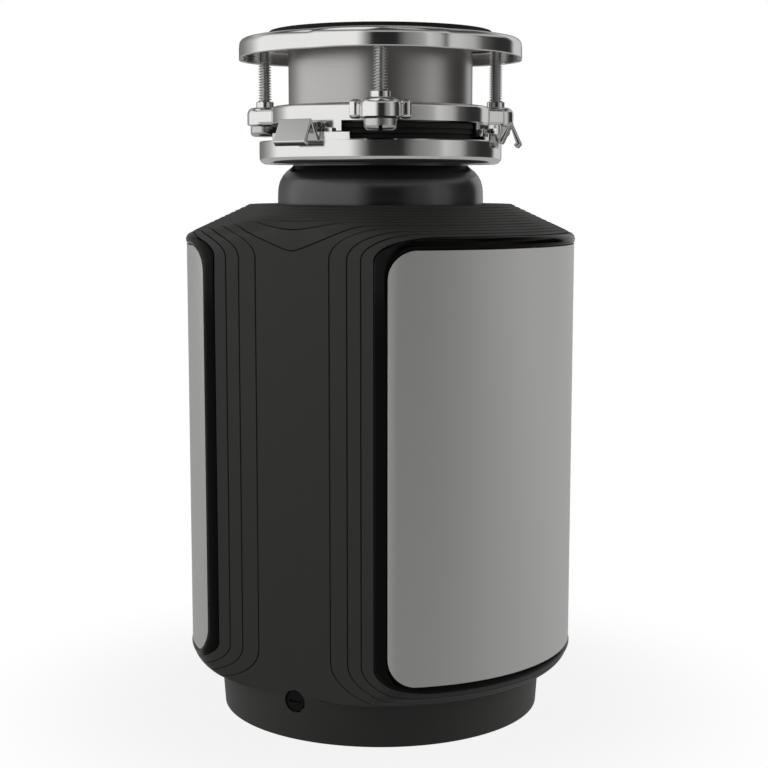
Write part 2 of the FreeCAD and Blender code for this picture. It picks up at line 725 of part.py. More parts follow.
def make_upper_frame():
    """Upper end frame: floor of the discharge space, bearing hub and the upper stator cup."""
    form = lathe(
        "frame",
        [
            (HUB_BORE, f"{SUMP_FOOT} - 8"),
            ("hub_radius", f"{SUMP_FOOT} - 8"),
            ("hub_radius", SUMP_FOOT),
            (f"{STATOR} - cup_wall", SUMP_FOOT),
            (f"{STATOR} - cup_wall", CORE_TOP),
            (STATOR, CORE_TOP),
            (STATOR, SUMP_FOOT),
            (FLANGE_EDGE, SUMP_FOOT),
            (FLANGE_EDGE, SUMP_TOP),
            ("hub_radius + 6", SUMP_TOP),
            ("hub_radius", f"{SUMP_TOP} + 12"),
            ("shaft_radius + 5.1", f"{SUMP_TOP} + 12"),
            ("shaft_radius + 5.1", f"{SUMP_TOP} + 8"),
            (HUB_BORE, f"{SUMP_TOP} + 8"),
        ],
    )
    taps = ring_of(
        "bolt_radius + 0.1", f"{SUMP_FOOT} - 1", f"{SUMP_TOP} - 1", BOLT_CIRCLE, quarter_angles(45)
    )
    keep(cut(form, *taps), "upper_end_frame")

    bolts = []
    for angle in quarter_angles(45):
        middle = polar(BOLT_CIRCLE, angle)
        head = cylinder("bolt_radius + 1.8", f"{FRAME_FOOT} - 3.6", FRAME_FOOT, *middle)
        shank = cylinder("bolt_radius", FRAME_FOOT, f"{SUMP_TOP} - 1.3", *middle)
        bolts.append(fuse(head, shank))
    keep(fuse(*bolts), "through_bolts")


# ---------------------------------------------------------------- grinding chamber


def make_container():
    """Grinding container: flange, straight wall, shoulder, neck and lip, with the outlet boss."""
    outside = lathe(
        "outside",
        [
            ("0", CONTAINER_FOOT),
            (FLANGE_EDGE, CONTAINER_FOOT),
            (FLANGE_EDGE, f"{CONTAINER_FOOT} + 2.5"),
            ("container_radius", f"{CONTAINER_FOOT} + 2.5"),
            ("container_radius", HOPPER_TOP),
            ("container_radius - 6", f"{HOPPER_TOP} + hopper_shoulder * 0.5"),
            ("neck_radius + 4", f"{SHOULDER_TOP} - 3.6"),
            ("neck_radius", SHOULDER_TOP),
            ("neck_radius", f"{DECK} + mount_rise * 0.48"),
            ("(3 * neck_radius + waist_radius) / 4", f"{DECK} + mount_rise * 0.7"),
            ("(neck_radius + 6 * waist_radius) / 7", f"{DECK} + mount_rise * 0.92"),
            ("waist_radius", f"{MOUNT} - 0.4"),
            ("waist_radius", LIP),
            ("lip_radius", LIP),
            ("lip_radius", LIP_TOP),
            ("0", LIP_TOP),
        ],
    )
    inside = lathe(
        "inside",
        [
            ("0", f"{CONTAINER_FOOT} - 1"),
            (CONTAINER_INSIDE, f"{CONTAINER_FOOT} - 1"),
            (CONTAINER_INSIDE, f"{HOPPER_TOP} - 1"),
            ("container_radius - 8", f"{HOPPER_TOP} + hopper_shoulder * 0.5 - 2.5"),
            ("neck_radius + 3", f"{SHOULDER_TOP} - 6.6"),
            ("neck_radius - 3", f"{SHOULDER_TOP} - 1"),
            ("neck_radius - 3", f"{DECK} + mount_rise * 0.4"),
            ("throat_radius", f"{DECK} + mount_rise * 0.62"),
            ("throat_radius", f"{LIP_TOP} + 1"),
            ("0", f"{LIP_TOP} + 1"),
        ],
    )
    boss = common(
        outlet_window("0"),
        box(("0", f"{FLAT} + 2"), ("-60", "60"), (SUMP_TOP, f"{TABLE} + 20")),
    )
    holes = [inside, rod("outlet_bore", "container_radius / 2", f"{FLAT} + 5", "0", OUTLET_HEIGHT)]
    holes.append(rod("inlet_radius + 0.7", "container_radius / 2", FLAT, "0", INLET_HEIGHT))
    for along in OUTLET_BOLTS:
        holes.append(rod("2.6", f"{FLAT} - 7", f"{FLAT} + 3", along, OUTLET_HEIGHT))
    keep(cut(fuse(outside, boss), *holes), "grinding_container")


def make_container_fixings():
    """Seal under the container, and the split clamp band that pulls the two flanges together."""
    keep(tube("seal", FLANGE_EDGE, CONTAINER_INSIDE, SUMP_TOP, CONTAINER_FOOT), "container_seal")
    grip = "container_radius + seat_gap"
    band = lathe(
        "band",
        [
            (f"{STATOR} + 4", f"{SUMP_FOOT} - 1.3"),
            (f"{SHELL_INSIDE} - seat_gap", f"{SUMP_FOOT} - 1.3"),
            (f"{SHELL_INSIDE} - seat_gap", f"{CONTAINER_FOOT} + 4.1"),
            (grip, f"{CONTAINER_FOOT} + 4.1"),
            (grip, f"{CONTAINER_FOOT} + 2.8"),
            (f"{FLANGE_EDGE} + seat_gap", f"{CONTAINER_FOOT} + 2.8"),
            (f"{FLANGE_EDGE} + seat_gap", f"{SUMP_FOOT} - seat_gap"),
            (f"{STATOR} + 4", f"{SUMP_FOOT} - seat_gap"),
        ],
    )
    keep(cut(band, outlet_window("seat_gap + 0.5")), "clamp_band")


def make_grinder():
    """Shredder ring, turntable, its nut, and the two impellers on their rivets."""
    foot = f"({TABLE} - 8)"
    ring = tube("ring", SHREDDER, SHREDDER_INSIDE, foot, f"{foot} + shredder_height")
    ring.Label = "shredder_ring"
    pocket_up = (f"{foot} + 4", f"{TABLE_TOP} + 4")
    sketch = outline(
        ring,
        "XZ_Plane",
        [
            ("-tooth_gap / 2", pocket_up[0]),
            ("tooth_gap / 2", pocket_up[0]),
            ("tooth_gap / 2", pocket_up[1]),
            ("-tooth_gap / 2", pocket_up[1]),
        ],
    )
    full = ring.Shape.Volume
    pocket = ring.newObject("PartDesign::Pocket", "slot")
    pocket.Profile = sketch
    pocket.Type = "ThroughAll"
    DOC.recompute()
    if ring.Shape.Volume > full - 1:
        pocket.Reversed = True
        DOC.recompute()
    pattern = ring.newObject("PartDesign::PolarPattern", "slots")
    pattern.Originals = [pocket]
    pattern.Axis = (sketch, ["V_Axis"])
    pattern.Angle = 360
    bind(pattern, Occurrences="tooth_count")
    ring.Tip = pattern
    DOC.recompute()
    keep(ring, "shredder_ring")

    edge = f"({SHREDDER_INSIDE} - air_gap)"
    table = lathe(
        "table",
        [
            ("shaft_radius - 2 + running_gap", f"{TABLE} - 3"),
            ("shaft_radius + 5", f"{TABLE} - 3"),
            ("shaft_radius + 5", TABLE),
            (edge, TABLE),
            (edge, TABLE_TOP),
            ("shaft_radius + 5", TABLE_TOP),
            ("shaft_radius + 3", f"{TABLE_TOP} + 2.5"),
            ("shaft_radius - 2 + running_gap", f"{TABLE_TOP} + 2.5"),
        ],
    )
    pivots = ring_of(
        "rivet_radius + running_gap", f"{TABLE} - 1", f"{TABLE_TOP} + 1", "impeller_circle", (0, 180)
    )
    drains = ring_of("4", f"{TABLE} - 1", f"{TABLE_TOP} + 1", f"{edge} - 12", (60, 120, 240, 300))
    keep(cut(table, *pivots, *drains), "turntable")

    nut = DOC.addObject("Part::Prism", "nut")
    nut.Polygon = 6
    bind(nut, Circumradius="shaft_radius + 3", Height="6")
    place(nut, "0", "0", f"{TABLE_TOP} + 2.5")
    thread = cylinder("shaft_radius - 2 + running_gap", TABLE_TOP, f"{TABLE_TOP} + 12")
    keep(cut(nut, thread), "turntable_nut")

    plate_foot = f"({TABLE_TOP} + seat_gap)"
    plate_top = f"({plate_foot} + impeller_sheet)"
    rivets = []
    for index, angle in enumerate((0, 180), start=1):
        middle = polar("impeller_circle", angle)
        tail = cylinder("rivet_radius + 1.5", f"{TABLE} - 1.8", TABLE, *middle)
        shank = cylinder("rivet_radius", TABLE, f"{plate_top} + seat_gap", *middle)
        head_foot = f"{plate_top} + seat_gap"
        head = cylinder("rivet_radius + 2", head_foot, f"{head_foot} + 2", *middle)
        rivets.append(fuse(tail, shank, head))

        if index == 1:
            span = ("impeller_circle - 10", "impeller_circle + impeller_reach")
            lug = ("impeller_circle + impeller_reach - 3", "impeller_circle + impeller_reach")
        else:
            span = ("-(impeller_circle + impeller_reach)", "-(impeller_circle - 10)")
            lug = ("-(impeller_circle + impeller_reach)", "-(impeller_circle + impeller_reach - 3)")
        plate = box(span, ("-7", "7"), (plate_foot, plate_top))
        upright = box(lug, ("-7", "7"), (plate_top, f"{plate_top} + 10"))
        bore = cylinder("rivet_radius + running_gap", TABLE_TOP, f"{plate_top} + 1", *middle)
        keep(cut(fuse(plate, upright), bore), f"impeller_{index}")
    keep(fuse(*rivets), "impeller_rivets")


def make_outlet():
    """Tailpipe elbow with its gasket, flange and two bolts."""
    start = f"({FLAT} + 2)"
    gasket_end = f"({start} + 3)"

    def oval(first, last, radius):
        """A plate that reaches out to the two bolts."""
        across = (f"-{OUTLET_EAR}", OUTLET_EAR)
        plate = box((first, last), across, (f"{OUTLET_HEIGHT} - 9", f"{OUTLET_HEIGHT} + 9"))
        return fuse(plate, rod(radius, first, last, "0", OUTLET_HEIGHT))

    holes = [rod("3.2", FLAT, f"{FLAT} + 20", along, OUTLET_HEIGHT) for along in OUTLET_BOLTS]
    bore = rod("outlet_bore", FLAT, f"{FLAT} + 9", "0", OUTLET_HEIGHT)
    keep(cut(oval(start, gasket_end, "outlet_bore + outlet_wall + 3"), bore, *holes), "outlet_gasket")

    flange_start = f"({gasket_end} + 2.5)"
    flange_end = f"({flange_start} + 2.5)"
    holes = [rod("3.2", FLAT, f"{FLAT} + 20", along, OUTLET_HEIGHT) for along in OUTLET_BOLTS]
    bore = rod("tailpipe_radius + 0.2", FLAT, f"{FLAT} + 30", "0", OUTLET_HEIGHT)
    keep(cut(oval(flange_start, flange_end, "tailpipe_radius + 5"), bore, *holes), "outlet_flange")

    bolts = []
    for along in OUTLET_BOLTS:
        shank = rod("2.5", f"{FLAT} - 6.5", flange_end, along, OUTLET_HEIGHT)
        head = rod("4.6", flange_end, f"{flange_end} + 3.5", along, OUTLET_HEIGHT)
        bolts.append(fuse(shank, head))
    keep(fuse(*bolts), "outlet_bolts")

    bend_start = number(f"{flange_end} + 6")
    centre_height = number(OUTLET_HEIGHT)
    bend = number("elbow_bend")
    drop = number("elbow_drop")
    first = FreeCAD.Vector(number(gasket_end), 0, centre_height)
    turn_start = FreeCAD.Vector(bend_start, 0, centre_height)
    turn_middle = FreeCAD.Vector(bend_start + bend * 0.5 ** 0.5, 0, centre_height - bend * (1 - 0.5 ** 0.5))
    turn_end = FreeCAD.Vector(bend_start + bend, 0, centre_height - bend)
    last = turn_end - FreeCAD.Vector(0, 0, drop)
    route = Part.Wire(
        [
            Part.LineSegment(first, turn_start).toShape(),
            Part.Arc(turn_start, turn_middle, turn_end).toShape(),
            Part.LineSegment(turn_end, last).toShape(),
        ]
    )
    solids = []
    for radius in (number("tailpipe_radius"), number("tailpipe_radius - tailpipe_wall")):
        ring = Part.Wire([Part.Circle(first, FreeCAD.Vector(1, 0, 0), radius).toShape()])
        solids.append(route.makePipeShell([ring], True, False))
    outer = DOC.addObject("Part::Feature", "elbow_outside")
    outer.Shape = solids[0]
    inner = DOC.addObject("Part::Feature", "elbow_inside")
    inner.Shape = solids[1]
    collar = rod("tailpipe_radius + 1.4", gasket_end, flange_start, "0", OUTLET_HEIGHT)
    keep(cut(fuse(outer, collar), inner), "tailpipe_elbow")


def make_inlet():
    """Nipple that takes the dishwasher hose."""
    root = rod("inlet_radius + 0.5", CONTAINER_INSIDE, f"{FLAT} + 1", "0", INLET_HEIGHT)
    pipe = rod("inlet_radius", FLAT, f"{FLAT} + 18", "0", INLET_HEIGHT)
    collar = rod("inlet_radius + 3", "container_radius + seat_gap", FOAM_OUTSIDE, "0", INLET_HEIGHT)
    bore = rod("inlet_radius - inlet_wall", "container_radius / 2", f"{FLAT} + 20", "0", INLET_HEIGHT)
    keep(cut(fuse(root, pipe, collar), bore), "dishwasher_inlet")


# ---------------------------------------------------------------- sink mount

BAFFLE_RIM = "(throat_radius + 2.8)"
RAMP_SPAN = (-22, 14)
FINGER_INSIDE = "(ring_radius - ring_wall - 2.6)"
RAMP_WALL = "(ring_radius - ring_wall - 4.7)"


def sector(inside, outside, foot, top, first, last):
    """Part of a ring between two angles, less than half a turn apart."""
    item = DOC.addObject("Part::Cylinder", "sector")
    bind(item, Radius=outside, Height=f"({top}) - ({foot})")
    place(item, "0", "0", foot)
    item.Angle = last - first
    core = cylinder(inside, f"{foot} - 1", f"{top} + 1")
    return turn(cut(item, core), first)


def make_mounting_gasket():
    """Rubber mounting gasket on the lip, and the splash baffle that hangs in the neck."""
    gasket = lathe(
        "gasket",
        [
            ("lip_radius + seat_gap", LIP),
            (f"{RAMP_WALL} - seat_gap", LIP),
            (f"{RAMP_WALL} - seat_gap", f"{BAND} - seat_gap"),
            ("sleeve_radius + seat_gap", f"{BAND} - seat_gap"),
            ("sleeve_radius + seat_gap", SHELF),
            ("sleeve_radius - seat_gap", SHELF),
            ("sleeve_radius - seat_gap", f"{LIP_TOP} + seat_gap"),
            ("lip_radius + seat_gap", f"{LIP_TOP} + seat_gap"),
        ],
    )
    keep(gasket, "mounting_gasket")

    baffle = lathe(
        "baffle",
        [
            ("9", f"{MOUNT} - 5.5"),
            ("throat_radius - 0.4", f"{MOUNT} - 5.5"),
            ("throat_radius - 0.4", f"{LIP_TOP} + seat_gap"),
            (BAFFLE_RIM, f"{LIP_TOP} + seat_gap"),
            (BAFFLE_RIM, f"{SHELF} - seat_gap"),
            ("throat_radius - 2.4", f"{SHELF} - seat_gap"),
            ("throat_radius - 2.4", f"{MOUNT} - 3.5"),
            ("9", f"{MOUNT} - 3.5"),
        ],
    )
    slits = [
        spoke("4", "throat_radius - 7", "1.2", f"{MOUNT} - 7", f"{MOUNT} - 3", 60 * index)
        for index in range(6)
    ]
    keep(cut(baffle, *slits), "splash_baffle")


def make_lower_ring():
    """Lower mounting ring: floor, wall, and three tabs with an inward finger and a wrench lug."""
    ring = lathe(
        "ring",
        [
            ("lip_radius + 0.7", MOUNT),
            ("ring_radius - 1.4", MOUNT),
            ("ring_radius", f"{MOUNT} + 1.4"),
            ("ring_radius", RING_TOP),
            ("ring_radius - ring_wall", RING_TOP),
            ("ring_radius - ring_wall", RING_FLOOR_TOP),
            ("lip_radius + 0.7", RING_FLOOR_TOP),
        ],
    )
    pieces = [ring]
    wall_top = f"({BAND} - 0.4)"
    for angle in TAB_ANGLES:
        pieces.append(
            sector("ring_radius - ring_wall", "ring_radius", RING_TOP, wall_top, angle - 8, angle + 8)
        )
        pieces.append(
            sector(FINGER_INSIDE, "ring_radius - 1", f"{wall_top} - 2.2", wall_top, angle - 8, angle + 8)
        )
        pieces.append(
            sector(
                "ring_radius - ring_wall",
                "ring_radius",
                RING_TOP,
                f"{RING_TOP} + ring_spacing / 2",
                angle - 18,
                angle + 18,
            )
        )
        lug = bent_sheet(
            "lug",
            [
                ("ring_radius - 0.6", f"{wall_top} - 2.5"),
                ("ring_radius - 0.6", wall_top),
                ("ring_radius + 1.1", wall_top),
                ("ring_radius + 4.6", f"{wall_top} + 2.2"),
                ("ring_radius + 10.1", f"{wall_top} - 6"),
                ("ring_radius + 8.1", f"{wall_top} - 7.2"),
                ("ring_radius + 4.2", f"{wall_top} - 1"),
                ("ring_radius + 2", f"{wall_top} - 2.5"),
            ],
            "17",
        )
        pieces.append(turn(lug, angle))
    keep(fuse(*pieces), "lower_mounting_ring")


def make_upper_ring():
    """Upper mounting ring: band, web around the sleeve, three ramps and three threaded lugs."""
    band = lathe(
        "band",
        [
            ("band_radius - 3", BAND),
            ("band_radius", BAND),
            ("band_radius", f"{BAND_TOP} - 1"),
            ("band_radius - 1", BAND_TOP),
            ("sleeve_radius + 0.4", BAND_TOP),
            ("sleeve_radius + 0.4", f"{BAND_TOP} - 3"),
            ("band_radius - 3", f"{BAND_TOP} - 3"),
        ],
    )
    pieces = [band]
    for angle in TAB_ANGLES:
        first, last = angle + RAMP_SPAN[0], angle + RAMP_SPAN[1]
        wall_foot = f"({BAND} - 6.5)"
        ramp_top = f"({BAND} - 2.9)"
        pieces.append(sector(RAMP_WALL, f"{RAMP_WALL} + 1.8", wall_foot, f"{BAND_TOP} - 1", first, last))
        edge = "ring_radius - ring_wall - seat_gap"
        pieces.append(sector(RAMP_WALL, edge, wall_foot, ramp_top, first, last))
        pieces.append(sector(RAMP_WALL, edge, wall_foot, BAND, angle + 10.5, last))
        pieces.append(
            sector(RAMP_WALL, "band_radius", f"{BAND} - 4.6", f"{BAND_TOP} - 2", angle + 9, angle + 18)
        )
    for angle in SCREW_ANGLES:
        middle = polar("screw_circle", angle)
        lug_foot = f"{BAND} + 0.5"
        pieces.append(cylinder("lug_radius", lug_foot, f"{BAND_TOP} + 0.9", *middle))
        pieces.append(cylinder("4.4", f"{BAND_TOP} + 0.9", f"{BAND_TOP} + 4.2", *middle))
        pieces.append(
            spoke("band_radius - 2", "screw_circle", "2 * lug_radius", lug_foot, BAND_TOP, angle)
        )
    holes = ring_of(
        "screw_radius + running_gap", BAND, f"{BAND_TOP} + 6", "screw_circle", SCREW_ANGLES
    )
    keep(cut(fuse(*pieces), *holes), "upper_mounting_ring")


def make_mounting_screws():
    """Three slotted screws that press the backup flange up against the sink."""
    head_top = f"({BAND} + 0.5 - seat_gap)"
    head_foot = f"({head_top} - screw_head_height)"
    for index, angle in enumerate(SCREW_ANGLES, start=1):
        middle = polar("screw_circle", angle)
        head = cylinder("screw_head", head_foot, head_top, *middle)
        shank = cylinder("screw_radius", head_top, f"{FLANGE_UNDER} - seat_gap", *middle)
        slot = centred_box("16", "1.8", (f"{head_foot} - 1", f"{head_foot} + 2"), *middle)
        keep(cut(fuse(head, shank), slot), f"mounting_screw_{index}")


def flange_form(inset, foot, top):
    """The lobed outline of the backup flange, moved in."""
    discs = ring_of(f"lobe_radius - {inset}", foot, top, "lobe_circle", SCREW_ANGLES)
    return fuse(cylinder(f"flange_radius - {inset}", foot, top), *discs)


def make_sink_pieces():
    """Sleeve with its snap ring, backup flange and fibre gasket."""
    groove_foot = f"({BAND_TOP} - 3 - seat_gap - 2)"
    groove_top = f"({BAND_TOP} - 3 - seat_gap)"
    sleeve = lathe(
        "sleeve",
        [
            ("sleeve_radius - sleeve_wall", SLEEVE_FOOT),
            ("sleeve_radius", SLEEVE_FOOT),
            ("sleeve_radius", f"{groove_foot} - 0.1"),
            ("sleeve_radius - 0.8", f"{groove_foot} - 0.1"),
            ("sleeve_radius - 0.8", f"{groove_top} + 0.1"),
            ("sleeve_radius", f"{groove_top} + 0.1"),
            ("sleeve_radius", f"{TOP} - seat_gap"),
            ("sleeve_radius - sleeve_wall", f"{TOP} - seat_gap"),
        ],
    )
    keep(sleeve, "sink_sleeve")
    ring = tube("ring", "sleeve_radius + 2", "sleeve_radius - 0.7", groove_foot, groove_top)
    gap = box(("0", "sleeve_radius + 5"), ("-4", "4"), (f"{groove_foot} - 1", f"{groove_top} + 1"))
    keep(cut(ring, gap), "snap_ring")

    rim_foot = f"({FLANGE_TOP} - flange_height)"
    outside = flange_form("0", rim_foot, FLANGE_TOP)
    inside = flange_form("flange_sheet", f"{rim_foot} - 1", FLANGE_UNDER)
    hole = cylinder("sleeve_radius + seat_gap", rim_foot, f"{FLANGE_TOP} + 1")
    keep(cut(outside, inside, hole), "backup_flange")
    keep(tube("gasket", "gasket_radius", "sleeve_radius + seat_gap", FLANGE_TOP, TOP), "fibre_gasket")


# ---------------------------------------------------------------- build, check and write


def check(items):
    """Refuse to write anything if a feature failed or a sub-part has no valid solid."""
    failed = [item.Label for item in DOC.Objects if {"Invalid", "Error"} & set(item.State)]
    if failed:
        raise RuntimeError(f"features that failed: {failed}")
    for item in items:
        if item.Shape.isNull() or not item.Shape.isValid() or not item.Shape.Solids:
            raise RuntimeError(f"{item.Label} has no valid solid")


def write(items):
    """Write each sub-part to a file named after its node."""
    os.makedirs("parts", exist_ok=True)
    for item in items:
        item.Shape.exportStep(os.path.join("parts", item.Label + ".step"))


make_shell()
make_trim()
make_shell_screws()
make_insulation()
make_bottom()
make_lower_frame()
make_overload()
make_stator()
make_rotor()
make_bearings()
make_upper_frame()
make_container()
make_container_fixings()
make_grinder()
make_outlet()
make_inlet()
make_mounting_gasket()
make_lower_ring()
make_upper_ring()
make_mounting_screws()
make_sink_pieces()
DOC.recompute()
check(NODES)
write(NODES)
print(f"{len(NODES)} sub-parts, overall height {number(TOP):.1f} mm")
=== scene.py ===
import logging
import math
from dataclasses import dataclass, field
from enum import Enum
from typing import Iterable, Sequence

import bmesh
import bpy
import numpy as np
from mathutils import Matrix, Vector


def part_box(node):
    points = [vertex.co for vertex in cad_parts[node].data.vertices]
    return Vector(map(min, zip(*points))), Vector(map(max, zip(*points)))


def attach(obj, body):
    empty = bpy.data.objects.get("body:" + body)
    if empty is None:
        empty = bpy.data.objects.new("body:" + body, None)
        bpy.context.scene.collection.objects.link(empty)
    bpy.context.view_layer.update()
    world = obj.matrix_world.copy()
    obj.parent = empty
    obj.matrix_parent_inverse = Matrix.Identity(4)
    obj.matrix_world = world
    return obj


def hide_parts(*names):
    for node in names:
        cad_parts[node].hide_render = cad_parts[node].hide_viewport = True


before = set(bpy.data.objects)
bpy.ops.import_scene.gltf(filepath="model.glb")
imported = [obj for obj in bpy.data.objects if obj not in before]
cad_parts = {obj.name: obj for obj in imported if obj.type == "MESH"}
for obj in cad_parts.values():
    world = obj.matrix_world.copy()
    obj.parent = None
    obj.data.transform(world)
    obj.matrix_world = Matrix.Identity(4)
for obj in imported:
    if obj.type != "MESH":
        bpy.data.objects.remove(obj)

logging.basicConfig(level=logging.INFO, format="%(message)s")
LOG = logging.getLogger("disposal")
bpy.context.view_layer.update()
MM = 0.001
Span = tuple[float, float]
Profile = Sequence[Span]
Line = tuple[np.ndarray, np.ndarray]


# ---------------------------------------------------------------- materials


class Streak(Enum):
    """Which way the fine lines of a worked surface run: stretches of the pattern (across, along)."""

    NONE = (1.0, 1.0)
    AROUND = (0.02, 1.0)
    UPRIGHT = (1.0, 0.02)


class Nodes:
    """A short way to place and join nodes in one tree."""

    def __init__(self, tree: bpy.types.NodeTree) -> None:
        """Keep the tree.

        Args:
            tree: the node tree to build in.
        """
        self.tree = tree

    def add(self, kind: str, **settings: object) -> bpy.types.Node:
        """Add a node.

        Args:
            kind: the node's type name.
            settings: properties of the node, or values of its inputs by name.

        Returns:
            The new node.
        """
        node = self.tree.nodes.new(kind)
        for name, value in settings.items():
            if hasattr(node, name):
                setattr(node, name, value)
            else:
                node.inputs[name.replace("_", " ")].default_value = value
        return node

    def join(self, start: bpy.types.NodeSocket, end: bpy.types.NodeSocket) -> None:
        """Join two sockets."""
        self.tree.links.new(start, end)

    def math(self, operation: str, *values: bpy.types.NodeSocket | float) -> bpy.types.NodeSocket:
        """Add a maths node.

        Args:
            operation: what it does.
            values: its inputs in order, sockets or numbers.

        Returns:
            Its result.
        """
        node = self.add("ShaderNodeMath", operation=operation)
        for index, value in enumerate(values):
            if isinstance(value, float):
                node.inputs[index].default_value = value
            else:
                self.join(value, node.inputs[index])
        return node.outputs[0]

    def change(
        self, value: bpy.types.NodeSocket, span: Span, result: Span, ease: str = "SMOOTHSTEP"
    ) -> bpy.types.NodeSocket:
        """Turn one range of values into another.

        Args:
            value: the value to change.
            span: where the change starts and ends.
            result: the new values there.
            ease: the kind of change, SMOOTHSTEP or LINEAR.

        Returns:
            The new value.
        """
        node = self.add("ShaderNodeMapRange", interpolation_type=ease)
        for label, number in zip(("From Min", "From Max", "To Min", "To Max"), (*span, *result)):
            node.inputs[label].default_value = number
        self.join(value, node.inputs["Value"])
        return node.outputs["Result"]

    def mix_shaders(
        self, share: bpy.types.NodeSocket, first: bpy.types.NodeSocket, second: bpy.types.NodeSocket
    ) -> bpy.types.NodeSocket:
        """Mix two shaders: the first where the share is 0, the second where it is 1."""
        mixer = self.add("ShaderNodeMixShader")
        for index, socket in enumerate((share, first, second)):
            self.join(socket, mixer.inputs[index])
        return mixer.outputs[0]


def new_group(name: str, inputs: dict[str, float], outputs: Sequence[str]) -> tuple:
    """Start a shader node group.

    Args:
        name: the group's name.
        inputs: names and default values of its float inputs.
        outputs: names of its float outputs.

    Returns:
        The group, its nodes helper, its input node and its output node.
    """
    group = bpy.data.node_groups.new(name, "ShaderNodeTree")
    for label, value in inputs.items():
        socket = group.interface.new_socket(label, in_out="INPUT", socket_type="NodeSocketFloat")
        socket.default_value = value
    for label in outputs:
        group.interface.new_socket(label, in_out="OUTPUT", socket_type="NodeSocketFloat")
    nodes = Nodes(group)
    return group, nodes, nodes.add("NodeGroupInput"), nodes.add("NodeGroupOutput")


def build_grain() -> bpy.types.NodeTree:
    """Moulded grain: fine bumps with slow changes of gloss.

    Returns:
        The node group, with outputs Height, Gloss and Tone.
    """
    group, nodes, start, end = new_group(
        "moulded_grain", {"Scale": 900.0, "Spread": 12.0}, ("Height", "Gloss", "Tone")
    )
    place = nodes.add("ShaderNodeTexCoord")
    fine = nodes.add("ShaderNodeTexNoise", Detail=3.0, Roughness=0.6)
    slow = nodes.add("ShaderNodeTexNoise", Detail=4.0, Roughness=0.55)
    pits = nodes.add("ShaderNodeTexVoronoi")
    for texture, scale in ((fine, "Scale"), (slow, "Spread"), (pits, "Scale")):
        nodes.join(place.outputs["Object"], texture.inputs["Vector"])
        nodes.join(start.outputs[scale], texture.inputs["Scale"])
    pit_share = 0.45
    height = nodes.math("MULTIPLY_ADD", pits.outputs["Distance"], pit_share, fine.outputs["Fac"])
    nodes.join(height, end.inputs["Height"])
    nodes.join(slow.outputs["Fac"], end.inputs["Gloss"])
    nodes.join(slow.outputs["Fac"], end.inputs["Tone"])
    return group


def build_streaks() -> bpy.types.NodeTree:
    """Worked metal: long fine lines along one direction, and slow changes of gloss.

    Returns:
        The node group, with outputs Height, Gloss and Tone.
    """
    group, nodes, start, end = new_group(
        "metal_streaks",
        {"Across": 1.0, "Along": 0.02, "Scale": 1500.0, "Spread": 9.0},
        ("Height", "Gloss", "Tone"),
    )
    place = nodes.add("ShaderNodeTexCoord")
    stretch = nodes.add("ShaderNodeVectorMath", operation="MULTIPLY")
    factors = nodes.add("ShaderNodeCombineXYZ")
    for axis, label in (("X", "Across"), ("Y", "Across"), ("Z", "Along")):
        nodes.join(start.outputs[label], factors.inputs[axis])
    nodes.join(place.outputs["Object"], stretch.inputs[0])
    nodes.join(factors.outputs[0], stretch.inputs[1])
    lines = nodes.add("ShaderNodeTexNoise", Detail=2.0, Roughness=0.7)
    slow = nodes.add("ShaderNodeTexNoise", Detail=3.0, Roughness=0.5)
    nodes.join(stretch.outputs[0], lines.inputs["Vector"])
    nodes.join(start.outputs["Scale"], lines.inputs["Scale"])
    nodes.join(place.outputs["Object"], slow.inputs["Vector"])
    nodes.join(start.outputs["Spread"], slow.inputs["Scale"])
    nodes.join(lines.outputs["Fac"], end.inputs["Height"])
    nodes.join(lines.outputs["Fac"], end.inputs["Gloss"])
    nodes.join(slow.outputs["Fac"], end.inputs["Tone"])
    return group


GRAIN = build_grain()
STREAKS = build_streaks()


